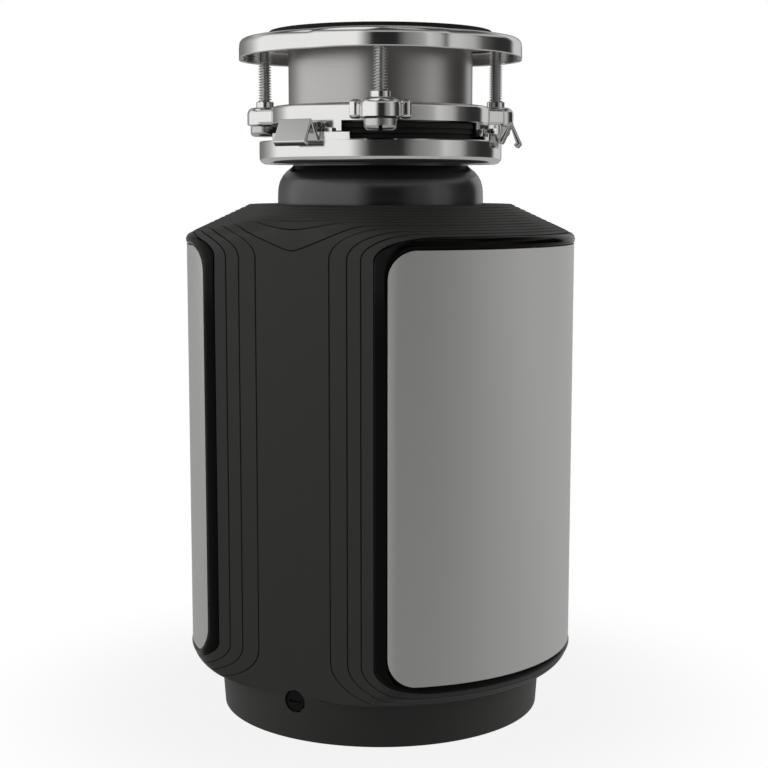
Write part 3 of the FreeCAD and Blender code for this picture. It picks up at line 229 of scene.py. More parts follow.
@dataclass(frozen=True)
class Finish:
    """One finish, built as a material when it is first used."""

    name: str
    colour: tuple[float, float, float]
    roughness: float
    metallic: float = 0.0
    gloss_change: float = 0.08
    tone_change: float = 0.12
    bump: float = 0.05
    bump_distance: float = 0.00004
    scale: float = 900.0
    streak: Streak = Streak.NONE
    coat: float = 0.0
    coat_roughness: float = 0.1
    specular: float = 0.5

    def material(self) -> bpy.types.Material:
        """The material of this finish.

        Returns:
            The existing material, or a new one with its nodes.
        """
        found = bpy.data.materials.get(f"{self.name}_finish")
        return found if found else self._build()

    def _build(self) -> bpy.types.Material:
        """Build the nodes.

        Returns:
            The new material.
        """
        material = bpy.data.materials.new(f"{self.name}_finish")
        material.use_nodes = True
        material.diffuse_color = (*self.colour, 1.0)
        nodes = Nodes(material.node_tree)
        shader = material.node_tree.nodes["Principled BSDF"]
        settings = {
            "Metallic": self.metallic, "Coat Weight": self.coat, "Coat Roughness": self.coat_roughness,
            "Specular IOR Level": self.specular,
        }
        for label, value in settings.items():
            shader.inputs[label].default_value = value
        plain = self.streak is Streak.NONE
        pattern = nodes.add("ShaderNodeGroup", node_tree=GRAIN if plain else STREAKS)
        pattern.inputs["Scale"].default_value = self.scale
        if not plain:
            for label, value in zip(("Across", "Along"), self.streak.value):
                pattern.inputs[label].default_value = value
        limits = (max(self.roughness - self.gloss_change, 0.02), min(self.roughness + self.gloss_change, 1.0))
        gloss = nodes.change(pattern.outputs["Gloss"], (0.0, 1.0), limits, "LINEAR")
        nodes.join(gloss, shader.inputs["Roughness"])
        tone = nodes.add("ShaderNodeMix", data_type="RGBA")
        dark = tuple(part * (1.0 - self.tone_change) for part in self.colour)
        light = tuple(min(part * (1.0 + self.tone_change), 1.0) for part in self.colour)
        tone.inputs[6].default_value = (*dark, 1.0)
        tone.inputs[7].default_value = (*light, 1.0)
        nodes.join(pattern.outputs["Tone"], tone.inputs[0])
        nodes.join(tone.outputs[2], shader.inputs["Base Color"])
        bump = nodes.add("ShaderNodeBump", Strength=self.bump, Distance=self.bump_distance)
        nodes.join(pattern.outputs["Height"], bump.inputs["Height"])
        nodes.join(bump.outputs["Normal"], shader.inputs["Normal"])
        return material


SHELL_BLACK = Finish(
    "shell_black", (0.030, 0.030, 0.0283), 0.5, bump=0.35, scale=1400.0, specular=0.35
)
GLOSS_BLACK = Finish(
    "gloss_black", (0.0015, 0.0015, 0.0012), 0.1, gloss_change=0.03, bump=0.02, specular=0.09
)
PANEL_STEEL = Finish(
    "panel_stainless", (0.60, 0.596, 0.583), 0.48, metallic=0.45, gloss_change=0.04,
    tone_change=0.02, bump=0.2, scale=1800.0, streak=Streak.UPRIGHT,
)
NECK_BLACK = Finish("neck_black", (0.02, 0.02, 0.0192), 0.22, bump=0.1, scale=700.0, specular=0.9)
NICKEL = Finish(
    "bright_nickel", (0.78, 0.777, 0.765), 0.13, metallic=1.0, gloss_change=0.05,
    tone_change=0.04, bump=0.06, scale=600.0,
)
SLEEVE_STEEL = Finish(
    "turned_stainless", (0.50, 0.486, 0.475), 0.30, metallic=1.0, gloss_change=0.06,
    tone_change=0.05, bump=0.06, scale=2200.0, streak=Streak.AROUND,
)
SCREW_ZINC = Finish(
    "screw_zinc", (0.60, 0.60, 0.58), 0.26, metallic=1.0, gloss_change=0.08, tone_change=0.08, bump=0.2
)
BLACK_RUBBER = Finish("black_rubber", (0.012, 0.012, 0.012), 0.72, bump=0.4, scale=1100.0, specular=0.35)
FIBRE = Finish("pressed_fibre", (0.012, 0.012, 0.012), 0.8, bump=0.6, scale=500.0, specular=0.3)
FOAM = Finish(
    "open_foam", (0.045, 0.045, 0.048), 0.95, bump=0.9, bump_distance=0.0004, scale=260.0, specular=0.2
)
GRIND_STEEL = Finish(
    "grinding_steel", (0.50, 0.50, 0.49), 0.33, metallic=1.0, tone_change=0.12, bump=0.3,
    scale=900.0, streak=Streak.AROUND,
)
CAST_ALLOY = Finish("cast_alloy", (0.42, 0.42, 0.42), 0.52, metallic=1.0, bump=0.7, scale=420.0)
LAMINATIONS = Finish(
    "laminations", (0.20, 0.20, 0.205), 0.45, metallic=1.0, tone_change=0.2, bump=0.8,
    bump_distance=0.0002, scale=1500.0, streak=Streak.AROUND,
)
COPPER = Finish(
    "copper_wire", (0.50, 0.20, 0.07), 0.32, metallic=0.85, tone_change=0.3, bump=0.9,
    bump_distance=0.0004, scale=700.0, streak=Streak.AROUND,
)
BRONZE = Finish("bearing_bronze", (0.45, 0.31, 0.14), 0.4, metallic=1.0, bump=0.3, scale=800.0)
SHAFT_STEEL = Finish(
    "ground_steel", (0.45, 0.45, 0.45), 0.22, metallic=1.0, bump=0.2, scale=2000.0, streak=Streak.AROUND
)
RED_BUTTON = Finish("red_button", (0.45, 0.012, 0.01), 0.3, bump=0.1, coat=0.3)
PHENOLIC = Finish("phenolic", (0.03, 0.022, 0.018), 0.5, bump=0.2, scale=600.0)
GREEN_ZINC = Finish("green_zinc", (0.03, 0.20, 0.06), 0.35, metallic=0.9, bump=0.2)
COVER_PAINT = Finish("cover_paint", (0.02, 0.02, 0.02), 0.42, bump=0.5, scale=300.0, coat=0.1)
DARK_SCREW = Finish("dark_screw", (0.0025, 0.0025, 0.0025), 0.5, metallic=0.2, bump=0.2, specular=0.15)

CAD_FINISHES: dict[str, Finish] = {
    "shell_screws": DARK_SCREW, "motor_insulation": FOAM, "container_insulation": FOAM,
    "bottom_cover": COVER_PAINT, "terminal_cover": COVER_PAINT, "bottom_cover_screws": SCREW_ZINC,
    "terminal_cover_screws": SCREW_ZINC, "lower_end_frame": CAST_ALLOY, "ground_screw": GREEN_ZINC,
    "overload_protector": PHENOLIC, "stator_core": LAMINATIONS, "stator_winding": COPPER,
    "motor_shaft": SHAFT_STEEL, "rotor_core": LAMINATIONS, "rotor_end_rings": CAST_ALLOY,
    "switch_governor": PHENOLIC, "water_slinger": BLACK_RUBBER, "lower_bearing": BRONZE,
    "thrust_washer": BRONZE, "upper_bearing": BRONZE, "shaft_seal": BLACK_RUBBER,
    "start_switch": PHENOLIC, "upper_end_frame": CAST_ALLOY, "through_bolts": SCREW_ZINC,
    "container_seal": BLACK_RUBBER, "clamp_band": SCREW_ZINC, "shredder_ring": GRIND_STEEL,
    "turntable": GRIND_STEEL, "turntable_nut": SCREW_ZINC, "impeller_1": GRIND_STEEL,
    "impeller_2": GRIND_STEEL, "impeller_rivets": GRIND_STEEL, "snap_ring": SHAFT_STEEL,
}


# ---------------------------------------------------------------- modelling helpers


def smooth_min(first: np.ndarray, second: np.ndarray, width: np.ndarray | float) -> np.ndarray:
    """The lower of two values, with a rounded change from one to the other.

    Args:
        first: values.
        second: values.
        width: how wide the change is.

    Returns:
        The blended values.
    """
    near = np.maximum(width - np.abs(first - second), 0.0) / width
    return np.minimum(first, second) - near * near * width / 4.0


def smooth_step(value: np.ndarray, low: float, high: float) -> np.ndarray:
    """0 below low, 1 above high, and a smooth change between them."""
    share = np.clip((value - low) / (high - low), 0.0, 1.0)
    return share * share * (3.0 - 2.0 * share)


def deselect() -> None:
    """Clear the selection, because operators act on all that is selected."""
    if bpy.context.object and bpy.context.object.mode != "OBJECT":
        bpy.ops.object.mode_set(mode="OBJECT")
    bpy.ops.object.select_all(action="DESELECT")


def activate(piece: bpy.types.Object) -> None:
    """Make one piece the only selected and active object."""
    deselect()
    piece.select_set(True)
    bpy.context.view_layer.objects.active = piece


def modify(piece: bpy.types.Object, kind: str, **settings: object) -> None:
    """Add a modifier and apply it.

    Args:
        piece: the object.
        kind: the modifier's type.
        settings: its properties.
    """
    activate(piece)
    modifier = piece.modifiers.new(kind.lower(), kind)
    for name, value in settings.items():
        setattr(modifier, name, value)
    bpy.ops.object.modifier_apply(modifier=modifier.name)


def bevel(piece: bpy.types.Object, width: float, angle: float = 35.0, segments: int = 2) -> None:
    """Round the sharp edges of a piece."""
    modify(
        piece, "BEVEL", width=width, segments=segments, limit_method="ANGLE",
        angle_limit=math.radians(angle), harden_normals=False,
    )


def combine(
    piece: bpy.types.Object, tools: Iterable[bpy.types.Object], operation: str, tolerant: bool
) -> None:
    """Combine a piece with tools, and remove them.

    Args:
        piece: the object.
        tools: closed shapes.
        operation: UNION or DIFFERENCE.
        tolerant: whether open or self-crossing meshes are allowed for.
    """
    for tool in list(tools):
        modify(
            piece, "BOOLEAN", operation=operation, object=tool, solver="EXACT", use_hole_tolerant=tolerant
        )
        bpy.data.objects.remove(tool, do_unlink=True)


def fuse_with(piece: bpy.types.Object, tools: Iterable[bpy.types.Object]) -> None:
    """Add tools to a piece."""
    combine(piece, tools, "UNION", False)


def cut_away(piece: bpy.types.Object, tools: Iterable[bpy.types.Object]) -> None:
    """Take tools away from a piece."""
    combine(piece, tools, "DIFFERENCE", True)


def close_ends(piece: bpy.types.Object) -> None:
    """Fill the open ends of a turned piece."""
    activate(piece)
    bpy.ops.object.mode_set(mode="EDIT")
    bpy.ops.mesh.select_all(action="SELECT")
    bpy.ops.mesh.fill_holes(sides=0)
    bpy.ops.mesh.normals_make_consistent(inside=False)
    bpy.ops.object.mode_set(mode="OBJECT")


def join(pieces: Sequence[bpy.types.Object]) -> bpy.types.Object:
    """Join several pieces into the first one."""
    activate(pieces[0])
    for piece in pieces[1:]:
        piece.select_set(True)
    bpy.ops.object.join()
    return pieces[0]


def settle(piece: bpy.types.Object) -> bpy.types.Object:
    """Move a piece's place into its mesh, so that the object sits at the origin."""
    activate(piece)
    bpy.ops.object.transform_apply(location=True, rotation=True, scale=True)
    return piece


def finish_piece(
    piece: bpy.types.Object, name: str, finish: Finish, nodes: Sequence[str], body: str, smooth: float = 35.0
) -> bpy.types.Object:
    """Name, dress and shade a piece, and fasten it to the frame.

    Args:
        piece: the object.
        name: its name.
        finish: its finish.
        nodes: the CAD nodes that it replaces.
        body: the CAD body that it rides on.
        smooth: edges flatter than this angle, in degrees, are shaded smooth.

    Returns:
        The piece.
    """
    settle(piece)
    piece.name = name
    piece.data.name = name
    piece.data.materials.clear()
    piece.data.materials.append(finish.material())
    activate(piece)
    bpy.ops.object.shade_smooth_by_angle(angle=math.radians(smooth))
    modify(piece, "WEIGHTED_NORMAL", keep_sharp=True)
    deselect()
    if nodes:
        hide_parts(*nodes)
    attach(piece, body)
    LOG.info("%s: %d faces", name, len(piece.data.polygons))
    return piece


def turn_profile(name: str, profile: Profile, segments: int = 128, closed: bool = True) -> bpy.types.Object:
    """Turn a profile about the vertical axis: a circle, extruded and resized ring by ring.

    Args:
        name: the object's name.
        profile: (radius, height) pairs in metres.
        segments: corners around.
        closed: whether the last ring meets the first one.

    Returns:
        The turned piece.
    """
    deselect()
    radius, height = profile[0]
    bpy.ops.mesh.primitive_circle_add(vertices=segments, radius=radius, location=(0.0, 0.0, height))
    piece = bpy.context.object
    piece.name = name
    settle(piece)
    bpy.ops.object.mode_set(mode="EDIT")
    bpy.ops.mesh.select_all(action="SELECT")
    points = list(profile[1:]) + ([profile[0]] if closed else [])
    for next_radius, next_height in points:
        bpy.ops.mesh.extrude_region_move(
            TRANSFORM_OT_translate={"value": (0.0, 0.0, next_height - height)}
        )
        share = next_radius / radius
        bpy.ops.transform.resize(value=(share, share, 1.0), center_override=(0.0, 0.0, next_height))
        radius, height = next_radius, next_height
    bpy.ops.mesh.select_all(action="SELECT")
    bpy.ops.mesh.remove_doubles(threshold=0.000002)
    bpy.ops.mesh.normals_make_consistent(inside=False)
    bpy.ops.object.mode_set(mode="OBJECT")
    return piece


def block(name: str, size: Sequence[float], place: Sequence[float]) -> bpy.types.Object:
    """A cube of a given size, as the start of a shaped piece."""
    deselect()
    bpy.ops.mesh.primitive_cube_add(size=1.0, location=place)
    piece = bpy.context.object
    piece.name = name
    piece.scale = size
    return settle(piece)


def drum(
    name: str, radius: float, depth: float, place: Sequence[float], axis: str = "Z", corners: int = 48
) -> bpy.types.Object:
    """A cylinder along one axis, as the start of a shaped piece."""
    turns = {"Z": (0.0, 0.0, 0.0), "X": (0.0, math.pi / 2, 0.0), "Y": (math.pi / 2, 0.0, 0.0)}
    deselect()
    bpy.ops.mesh.primitive_cylinder_add(
        vertices=corners, radius=radius, depth=depth, location=place, rotation=turns[axis]
    )
    piece = bpy.context.object
    piece.name = name
    return settle(piece)


def turned_about_axis(piece: bpy.types.Object, degrees: float) -> bpy.types.Object:
    """Turn a piece about the vertical axis through the origin."""
    piece.data.transform(Matrix.Rotation(math.radians(degrees), 4, "Z"))
    return piece


def copy_of(piece: bpy.types.Object, name: str) -> bpy.types.Object:
    """Copy a piece, with its own mesh."""
    twin = piece.copy()
    twin.data = piece.data.copy()
    twin.name = name
    bpy.context.collection.objects.link(twin)
    return twin


def raised(base: float, *points: Span) -> list[Span]:
    """Profile points in metres.

    Args:
        base: the height that the points are measured from, in metres.
        points: (radius, height above the base) pairs in millimetres.

    Returns:
        (radius, height) pairs.
    """
    return [(radius * MM, base + height * MM) for radius, height in points]


def ring_points(radii: np.ndarray | float, angles: np.ndarray, height: float) -> np.ndarray:
    """Points round the vertical axis at one height."""
    return np.stack([radii * np.cos(angles), radii * np.sin(angles), np.full_like(angles, height)], axis=-1)


def arc_profile(centre: Span, radius: float, start: float, end: float, steps: int = 5) -> list[Span]:
    """Points of a round corner in a profile.

    Args:
        centre: (radius, height) of the arc's centre.
        radius: of the arc.
        start: first angle in degrees, 0 pointing outward and 90 up.
        end: last angle.
        steps: parts.

    Returns:
        The points.
    """
    angles = [math.radians(start + (end - start) * step / steps) for step in range(steps + 1)]
    return [(centre[0] + radius * math.cos(a), centre[1] + radius * math.sin(a)) for a in angles]


def mesh_from_grid(
    name: str, patches: Sequence[np.ndarray], merge: float = 0.00001
) -> bpy.types.Object:
    """One mesh from several grids of points, merged along their shared borders.

    Args:
        name: the object's name.
        patches: arrays of shape (rows, columns, 3).
        merge: corners closer than this become one.

    Returns:
        The mesh object.
    """
    shape = bmesh.new()
    for patch in patches:
        corners = [[shape.verts.new(point) for point in row] for row in patch]
        for upper, lower in zip(corners, corners[1:]):
            for index in range(len(upper) - 1):
                shape.faces.new((upper[index], upper[index + 1], lower[index + 1], lower[index]))
    bmesh.ops.remove_doubles(shape, verts=shape.verts, dist=merge)
    bmesh.ops.dissolve_degenerate(shape, edges=shape.edges, dist=merge / 2)
    bmesh.ops.recalc_face_normals(shape, faces=shape.faces)
    mesh = bpy.data.meshes.new(name)
    shape.to_mesh(mesh)
    shape.free()
    piece = bpy.data.objects.new(name, mesh)
    bpy.context.collection.objects.link(piece)
    return piece


def four_quarters(patch: np.ndarray) -> list[np.ndarray]:
    """A patch of one quarter of the housing, and its three mirror images."""
    quarters = []
    for across in (1.0, -1.0):
        for along in (1.0, -1.0):
            turned = patch * np.array([across, along, 1.0])
            quarters.append(turned if across * along > 0 else turned[:, ::-1])
    return quarters


def two_halves(patch: np.ndarray) -> list[np.ndarray]:
    """A patch of one quarter, and its mirror image across the front's middle."""
    return [patch, (patch * np.array([-1.0, 1.0, 1.0]))[:, ::-1]]


def outward(piece: bpy.types.Object, inside: Vector) -> None:
    """Flip an open shell's faces if they point at its inside."""
    mesh = piece.data
    score = sum((face.center - inside).dot(face.normal) * face.area for face in mesh.polygons)
    if score < 0:
        mesh.flip_normals()


# ---------------------------------------------------------------- outer shell


@dataclass
class HousingForm:
    """The housing's skin over (run, height): run goes along the outline from the middle of a flat."""

    flat: float = 76.6 * MM
    round_radius: float = 90.6 * MM
    skirt_top: float = 20.0 * MM
    shoulder_top: float = 31.5 * MM
    foot_radius: float = 75.2 * MM
    deck_radius: float = 61.3 * MM
    deck_height: float = 237.2 * MM
    slope: float = math.radians(25.0)
    rim_blend: float = 5.0 * MM
    belly_power: float = 2.2
    top_change: Span = (206.0 * MM, 225.0 * MM)
    skirt_change: float = 3.0 * MM
    corner_blends: tuple[float, float, float] = (0.2 * MM, 2.6 * MM, 7.0 * MM)

    @property
    def corner_run(self) -> float:
        """Half the width of a flat."""
        return math.sqrt(self.round_radius**2 - self.flat**2)

    @property
    def full_run(self) -> float:
        """From the middle of a flat to the middle of the front."""
        return self.corner_run + self.round_radius * math.asin(self.flat / self.round_radius)

    def reach(self, height: np.ndarray) -> np.ndarray:
        """Radius of the turned form, before the flats are cut.

        Args:
            height: heights above the floor.

        Returns:
            The radii.
        """
        cone = self.deck_radius + (self.deck_height - height) / math.tan(self.slope)
        rise = np.clip((self.shoulder_top - height) / (self.shoulder_top - self.skirt_top), 0.0, 1.0)
        belly = self.flat + (self.round_radius - self.flat) * np.sqrt(1.0 - rise**self.belly_power)
        skirt = self.foot_radius + (self.flat - self.foot_radius) * height / self.skirt_top
        wall = np.where(height < self.skirt_top, skirt, belly)
        return smooth_min(wall, cone, self.rim_blend)

    def points(self, run: np.ndarray, height: np.ndarray) -> np.ndarray:
        """Points of the skin.

        Args:
            run: distances along the outline.
            height: heights above the floor.

        Returns:
            An array with x, y, z last; x and y are both negative in this quarter.
        """
        run = np.asarray(run, dtype=float)
        height = np.asarray(height, dtype=float)
        on_flat = np.arctan2(self.flat, run)
        corner = math.asin(self.flat / self.round_radius)
        on_round = corner - (run - self.corner_run) / self.round_radius
        angle = np.where(run <= self.corner_run, on_flat, on_round)
        top = smooth_step(height, *self.top_change)
        low = smooth_step(height, self.skirt_top, self.skirt_top + self.skirt_change)
        at_skirt, on_wall, on_slope = self.corner_blends
        blend = at_skirt + on_wall * low + on_slope * top
        plane = self.flat / np.maximum(np.sin(angle), 0.05)
        radius = smooth_min(self.reach(height), plane, blend)
        return np.stack([-radius * np.sin(angle), -radius * np.cos(angle), height], axis=-1)

    def skin(self, run: np.ndarray, height: np.ndarray, lift: np.ndarray | float = 0.0) -> np.ndarray:
        """Points of the skin, lifted along its normal.

        Args:
            run: distances along the outline.
            height: heights above the floor.
            lift: how far out of the skin.

        Returns:
            The points.
        """
        step = 0.0001
        inner = np.minimum(run + step, self.full_run)
        start = self.points(np.maximum(inner - 2 * step, 0.0), height)
        across = self.points(inner, height) - start
        up = self.points(run, height + step) - self.points(run, height - step)
        normal = np.cross(up, across)
        normal /= np.maximum(np.linalg.norm(normal, axis=-1, keepdims=True), 1e-12)
        base = self.points(run, height)
        outside = np.sum(normal[..., :2] * base[..., :2], axis=-1, keepdims=True)
        normal = np.where(outside < 0, -normal, normal)
        return base + normal * np.asarray(lift)[..., None]


@dataclass
class Contours:
    """The fine lines that run over the top and round each panel, all over one set of columns."""

    form: HousingForm
    spacing: float = 1.141 * MM
    line_count: int = 7
    side_runs: tuple[float, ...] = (18.9 * MM, 27.7 * MM, 34.6 * MM, 40.7 * MM)
    bottom_heights: tuple[float, ...] = (22.4 * MM, 24.2 * MM, 26.2 * MM, 28.4 * MM)
    bend_run: float = 30.0 * MM
    bend_top: float = 214.6 * MM
    bend_foot: float = 39.0 * MM
    top_columns: int = 34
    bend_columns: int = 22
    side_columns: int = 14
    dips: tuple[float, ...] = (0.0, 0.0, 0.1 * MM, 0.3 * MM, 0.8 * MM, 3.2 * MM)
    dip_run: float = 27.0 * MM
    valley: float = 11.2 * MM
    valley_run: float = 31.0 * MM
    valley_round: float = 0.1
    valley_slope: float = 1.06
    valley_ease: float = 0.25
    window_corner: float = 13.0 * MM
    window_heights: Span = (31.6 * MM, 219.3 * MM)
    window_overlap: float = 0.9 * MM

    def columns(self) -> int:
        """How many points a line round a panel has in one quarter."""
        return 2 * (self.top_columns + self.bend_columns) + self.side_columns

    def loop(
        self, side: float, top: float, bottom: float, bend_run: float, bend_top: float, bend_foot: float
    ) -> Line:
        """One line round a panel, from the top middle over the side to the bottom middle.

        Args:
            side: where it runs upright, from the middle of the flat.
            top: height of its top run.
            bottom: height of its bottom run.
            bend_run: how far its bends reach along the outline.
            bend_top: where the upper bend starts.
            bend_foot: where the lower bend starts.

        Returns:
            Runs and heights.
        """
        full = self.form.full_run
        quarter = np.linspace(0.0, math.pi / 2, self.bend_columns + 1)[1:]
        level = np.linspace(full, side + bend_run, self.top_columns)
        run = [level, side + bend_run * (1.0 - np.sin(quarter))]
        height = [np.full_like(level, top), bend_top + (top - bend_top) * np.cos(quarter)]
        fall = np.linspace(bend_top, bend_foot, self.side_columns + 2)[1:-1]
        run.append(np.full_like(fall, side))
        height.append(fall)
        rest = np.linspace(0.0, math.pi / 2, self.bend_columns + 1)[:-1]
        run.append(side + bend_run * (1.0 - np.cos(rest)))
        height.append(bend_foot + (bottom - bend_foot) * np.sin(rest))
        run.append(level[::-1])
        height.append(np.full_like(level, bottom))
        return np.concatenate(run), np.concatenate(height)

    def panel_line(self, index: int) -> Line:
        """The line round a panel with this index, the outermost first."""
        top = self.form.deck_height - self.spacing * (self.line_count + 1 + index)
        side, bottom = self.side_runs[index], self.bottom_heights[index]
        return self.loop(side, top, bottom, self.bend_run, self.bend_top, self.bend_foot)

    def window(self, inset: float = 0.0) -> Line:
        """The rounded edge of the stainless panel.

        Args:
            inset: how far inside the edge.

        Returns:
            Runs and heights.
        """
        corner = self.window_corner - inset
        bottom, top = self.window_heights[0] + inset, self.window_heights[1] - inset
        side = self.form.corner_run - self.window_overlap + inset
        return self.loop(side, top, bottom, corner, top - corner, bottom + corner)

    def top_runs(self) -> np.ndarray:
        """Runs of the lines that cross the flat, from the front's middle to the flat's middle."""
        side = self.side_runs[0]
        run = self.panel_line(0)[0][: self.top_columns + self.bend_columns]
        split = side + self.bend_run
        return np.where(run < split, split * (run - side) / self.bend_run, run)

    def top_line(self, index: int) -> Line:
        """A line that crosses the flat, 1 next to the deck, dipping in the middle of the flat."""
        run = self.top_runs()
        height = np.full_like(run, self.form.deck_height - self.spacing * index)
        if index < self.line_count:
            height -= self.dips[index - 1] * (1.0 - smooth_step(run, 0.0, self.dip_run))
        else:
            share = np.sqrt((run / self.valley_run) ** 2 + self.valley_round**2) - self.valley_round
            fall = -smooth_min(share * self.valley_slope - 1.0, np.zeros_like(share), self.valley_ease)
            height -= self.valley * np.maximum(fall, 0.0)
        return run, height

    def border(self, offset: float) -> Line:
        """The outer border of the web: the last crossing line, the flat's middle, the skirt's top."""
        run, height = self.top_line(self.line_count)
        height = height - offset
        fall = np.linspace(height[-1], self.form.skirt_top, self.side_columns + 2)[1:-1]
        back = run[::-1]
        return (
            np.concatenate([run, np.zeros_like(fall), back]),
            np.concatenate([height, fall, np.full_like(back, self.form.skirt_top)]),
        )


@dataclass
class Shell:
    """Outer shell with its fine lines, the two bezels and the two stainless panels."""

    form: HousingForm = field(default_factory=HousingForm)
    groove_half: float = 0.34 * MM
    groove_depth: float = 0.55 * MM
    slope_swell: float = 0.8
    wall: float = 2.2 * MM
    neck_hole: float = 49.2 * MM
    swell_start: Span = (24.0 * MM, 214.0 * MM)
    swell_length: Span = (20.0 * MM, 12.0 * MM)
    flat_face: float = 75.0 * MM
    recess: tuple[float, float, float] = (5.2 * MM, 78.0 * MM, 17.9 * MM)
    outlet_hole: float = 20.3 * MM
    outlet_ears: Span = (63.0 * MM, 19.6 * MM)
    inlet_hole: float = 12.2 * MM
    panel_gap: float = 0.25 * MM
    panel_sheet: float = 0.9 * MM

    def _near(self, line: Line, other: Line, distance: np.ndarray | float) -> Line:
        """A line moved a little towards another one.

        Args:
            line: runs and heights.
            other: runs and heights of the line to move towards.
            distance: how far to move, in metres.

        Returns:
            Runs and heights.
        """
        gap = np.linalg.norm(self.form.points(*other) - self.form.points(*line), axis=-1)
        share = np.minimum(distance / np.maximum(gap, 1e-9), 0.4)
        return line[0] + (other[0] - line[0]) * share, line[1] + (other[1] - line[1]) * share

    def _between(self, line: Line, other: Line, share: float) -> Line:
        """A line part of the way to another one."""
        return line[0] + (other[0] - line[0]) * share, line[1] + (other[1] - line[1]) * share

    def _swell(self, line: Line) -> np.ndarray:
        """How much wider and deeper than elsewhere a groove is: more on the slope above the panels."""
        round_front, rise = (
            np.clip((value - start) / length, 0.0, 1.0)
            for value, start, length in zip(line, self.swell_start, self.swell_length)
        )
        return 1.0 + self.slope_swell * rise * round_front

    def _rows(self, lines: Sequence[Line], grooves: Sequence[bool]) -> list[np.ndarray]:
        """Rows of points over several lines, with a groove along each marked one.

        Args:
            lines: the lines, in order.
            grooves: which of them have a groove.

        Returns:
            The rows.
        """
        rows = []
        for index, line in enumerate(lines):
            swell = self._swell(line)
            if grooves[index] and index > 0:
                rows.append(self.form.skin(*self._near(line, lines[index - 1], self.groove_half * swell)))
            rows.append(self.form.skin(*line, -self.groove_depth * swell if grooves[index] else 0.0))
            if index == len(lines) - 1:
                break
            if grooves[index]:
                rows.append(self.form.skin(*self._near(line, lines[index + 1], self.groove_half * swell)))
            rows.append(self.form.skin(*self._between(line, lines[index + 1], 0.5)))
        return rows

    def build(self) -> None:
        """Build the shell, the bezels and the panels."""
        contours = Contours(self.form)
        crossing = [contours.top_line(index) for index in range(1, contours.line_count + 1)]
        edge = (crossing[0][0], np.full_like(crossing[0][0], self.form.deck_height))
        last = (crossing[-1][0], crossing[-1][1] - self.groove_half)
        border = contours.border(self.groove_half)
        window = contours.panel_line(3)
        foot_lines = self._foot_lines(border[0][-len(edge[0]):])
        top, web = self._top(edge, crossing, last), self._web(contours, border)
        skirt = np.array([self.form.skin(*line) for line in foot_lines])
        under_top = self._lining([edge, crossing[2], crossing[4], last])
        under_web = self._lining([border, self._between(border, window, 0.4), window])
        under_skirt = self._lining(foot_lines)
        hole = self._drawn_in(under_top[0], self.neck_hole / self.form.deck_radius)
        under_top = np.array([hole, *under_top])
        borders = ((top[0], hole), (skirt[-1], under_skirt[-1]), (web[-1], under_web[-1]))
        seams = [np.array(pair) for pair in borders]
        quarters = []
        for patch in (top, web, skirt, under_top, under_web, under_skirt, *seams):
            quarters += four_quarters(patch)
        shell = mesh_from_grid("shell", quarters)
        self._cut_openings(shell)
        finish_piece(shell, "shell", SHELL_BLACK, ["outer_shell"], "housing", smooth=28.0)
        self._trim(contours)

    def _drawn_in(self, row: np.ndarray, share: float) -> np.ndarray:
        """A row of points drawn in towards the vertical axis."""
        return row * np.array([share, share, 1.0])

    def _top(self, edge: Line, crossing: Sequence[Line], last: Line) -> np.ndarray:
        """The deck round the neck and the slope with its lines.

        Args:
            edge: the deck's outer edge.
            crossing: the lines that cross the flat.
            last: the line under them, where the web starts.

        Returns:
            Rows of points.
        """
        rows = self._rows([edge, *crossing, last], [False] + [True] * len(crossing) + [False])
        rows = rows[:-3] + [self.form.skin(*last)]
        shares = (self.neck_hole / self.form.deck_radius, 0.9)
        return np.array([*[self._drawn_in(rows[0], share) for share in shares], *rows])

    def _web(self, contours: Contours, border: Line) -> np.ndarray:
        """The plain surface between the border and a panel, with the lines next to the panel."""
        first, *others = [contours.panel_line(index) for index in range(4)]
        web = [self.form.skin(*self._between(border, first, share)) for share in np.linspace(0.0, 0.55, 6)]
        stubs = self._rows([border, first, *others], [False, True, True, True, False])[2:]
        return np.array([*web, *stubs])

    def _foot_lines(self, run: np.ndarray) -> list[Line]:
        """Lines over the skirt, from its top to its rounded foot."""
        heights = (self.form.skirt_top / MM, 19.4, 15.0, 9.0, 4.0, 1.6, 0.6, 0.15, 0.0)
        return [(run, np.full_like(run, height * MM)) for height in heights]

    def _lining(self, lines: Sequence[Line]) -> np.ndarray:
        """Rows of the inner face, under the given lines."""
        rows = [self.form.skin(*line, -self.wall) for line in lines]
        for row in rows:
            row[..., 2] = np.maximum(row[..., 2], 0.0)
        return np.array(rows)

    def _cut_openings(self, shell: bpy.types.Object) -> None:
        """Cut the screw recesses, and on the right the outlet and the inlet."""
        elbow_low, elbow_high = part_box("outlet_gasket")
        inlet_low, inlet_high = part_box("dishwasher_inlet")
        middle = (elbow_low.z + elbow_high.z) / 2
        inlet = (inlet_low.z + inlet_high.z) / 2
        radius, across, height = self.recess
        depth = 20.0 * MM
        tools = [drum("tool", radius, 12.0 * MM, (side * across, 0.0, height), "X") for side in (-1, 1)]
        tools.append(drum("tool", self.outlet_hole, depth, (self.flat_face, 0.0, middle), "X"))
        tools.append(block("tool", (depth, *self.outlet_ears), (self.flat_face, 0.0, middle)))
        tools.append(drum("tool", self.inlet_hole, depth, (self.flat_face, 0.0, inlet), "X"))
        cut_away(shell, tools)
        activate(shell)
        bpy.ops.object.mode_set(mode="EDIT")
        bpy.ops.mesh.select_all(action="SELECT")
        bpy.ops.mesh.remove_doubles(threshold=0.02 * MM)
        bpy.ops.mesh.dissolve_degenerate(threshold=0.01 * MM)
        bpy.ops.object.mode_set(mode="OBJECT")

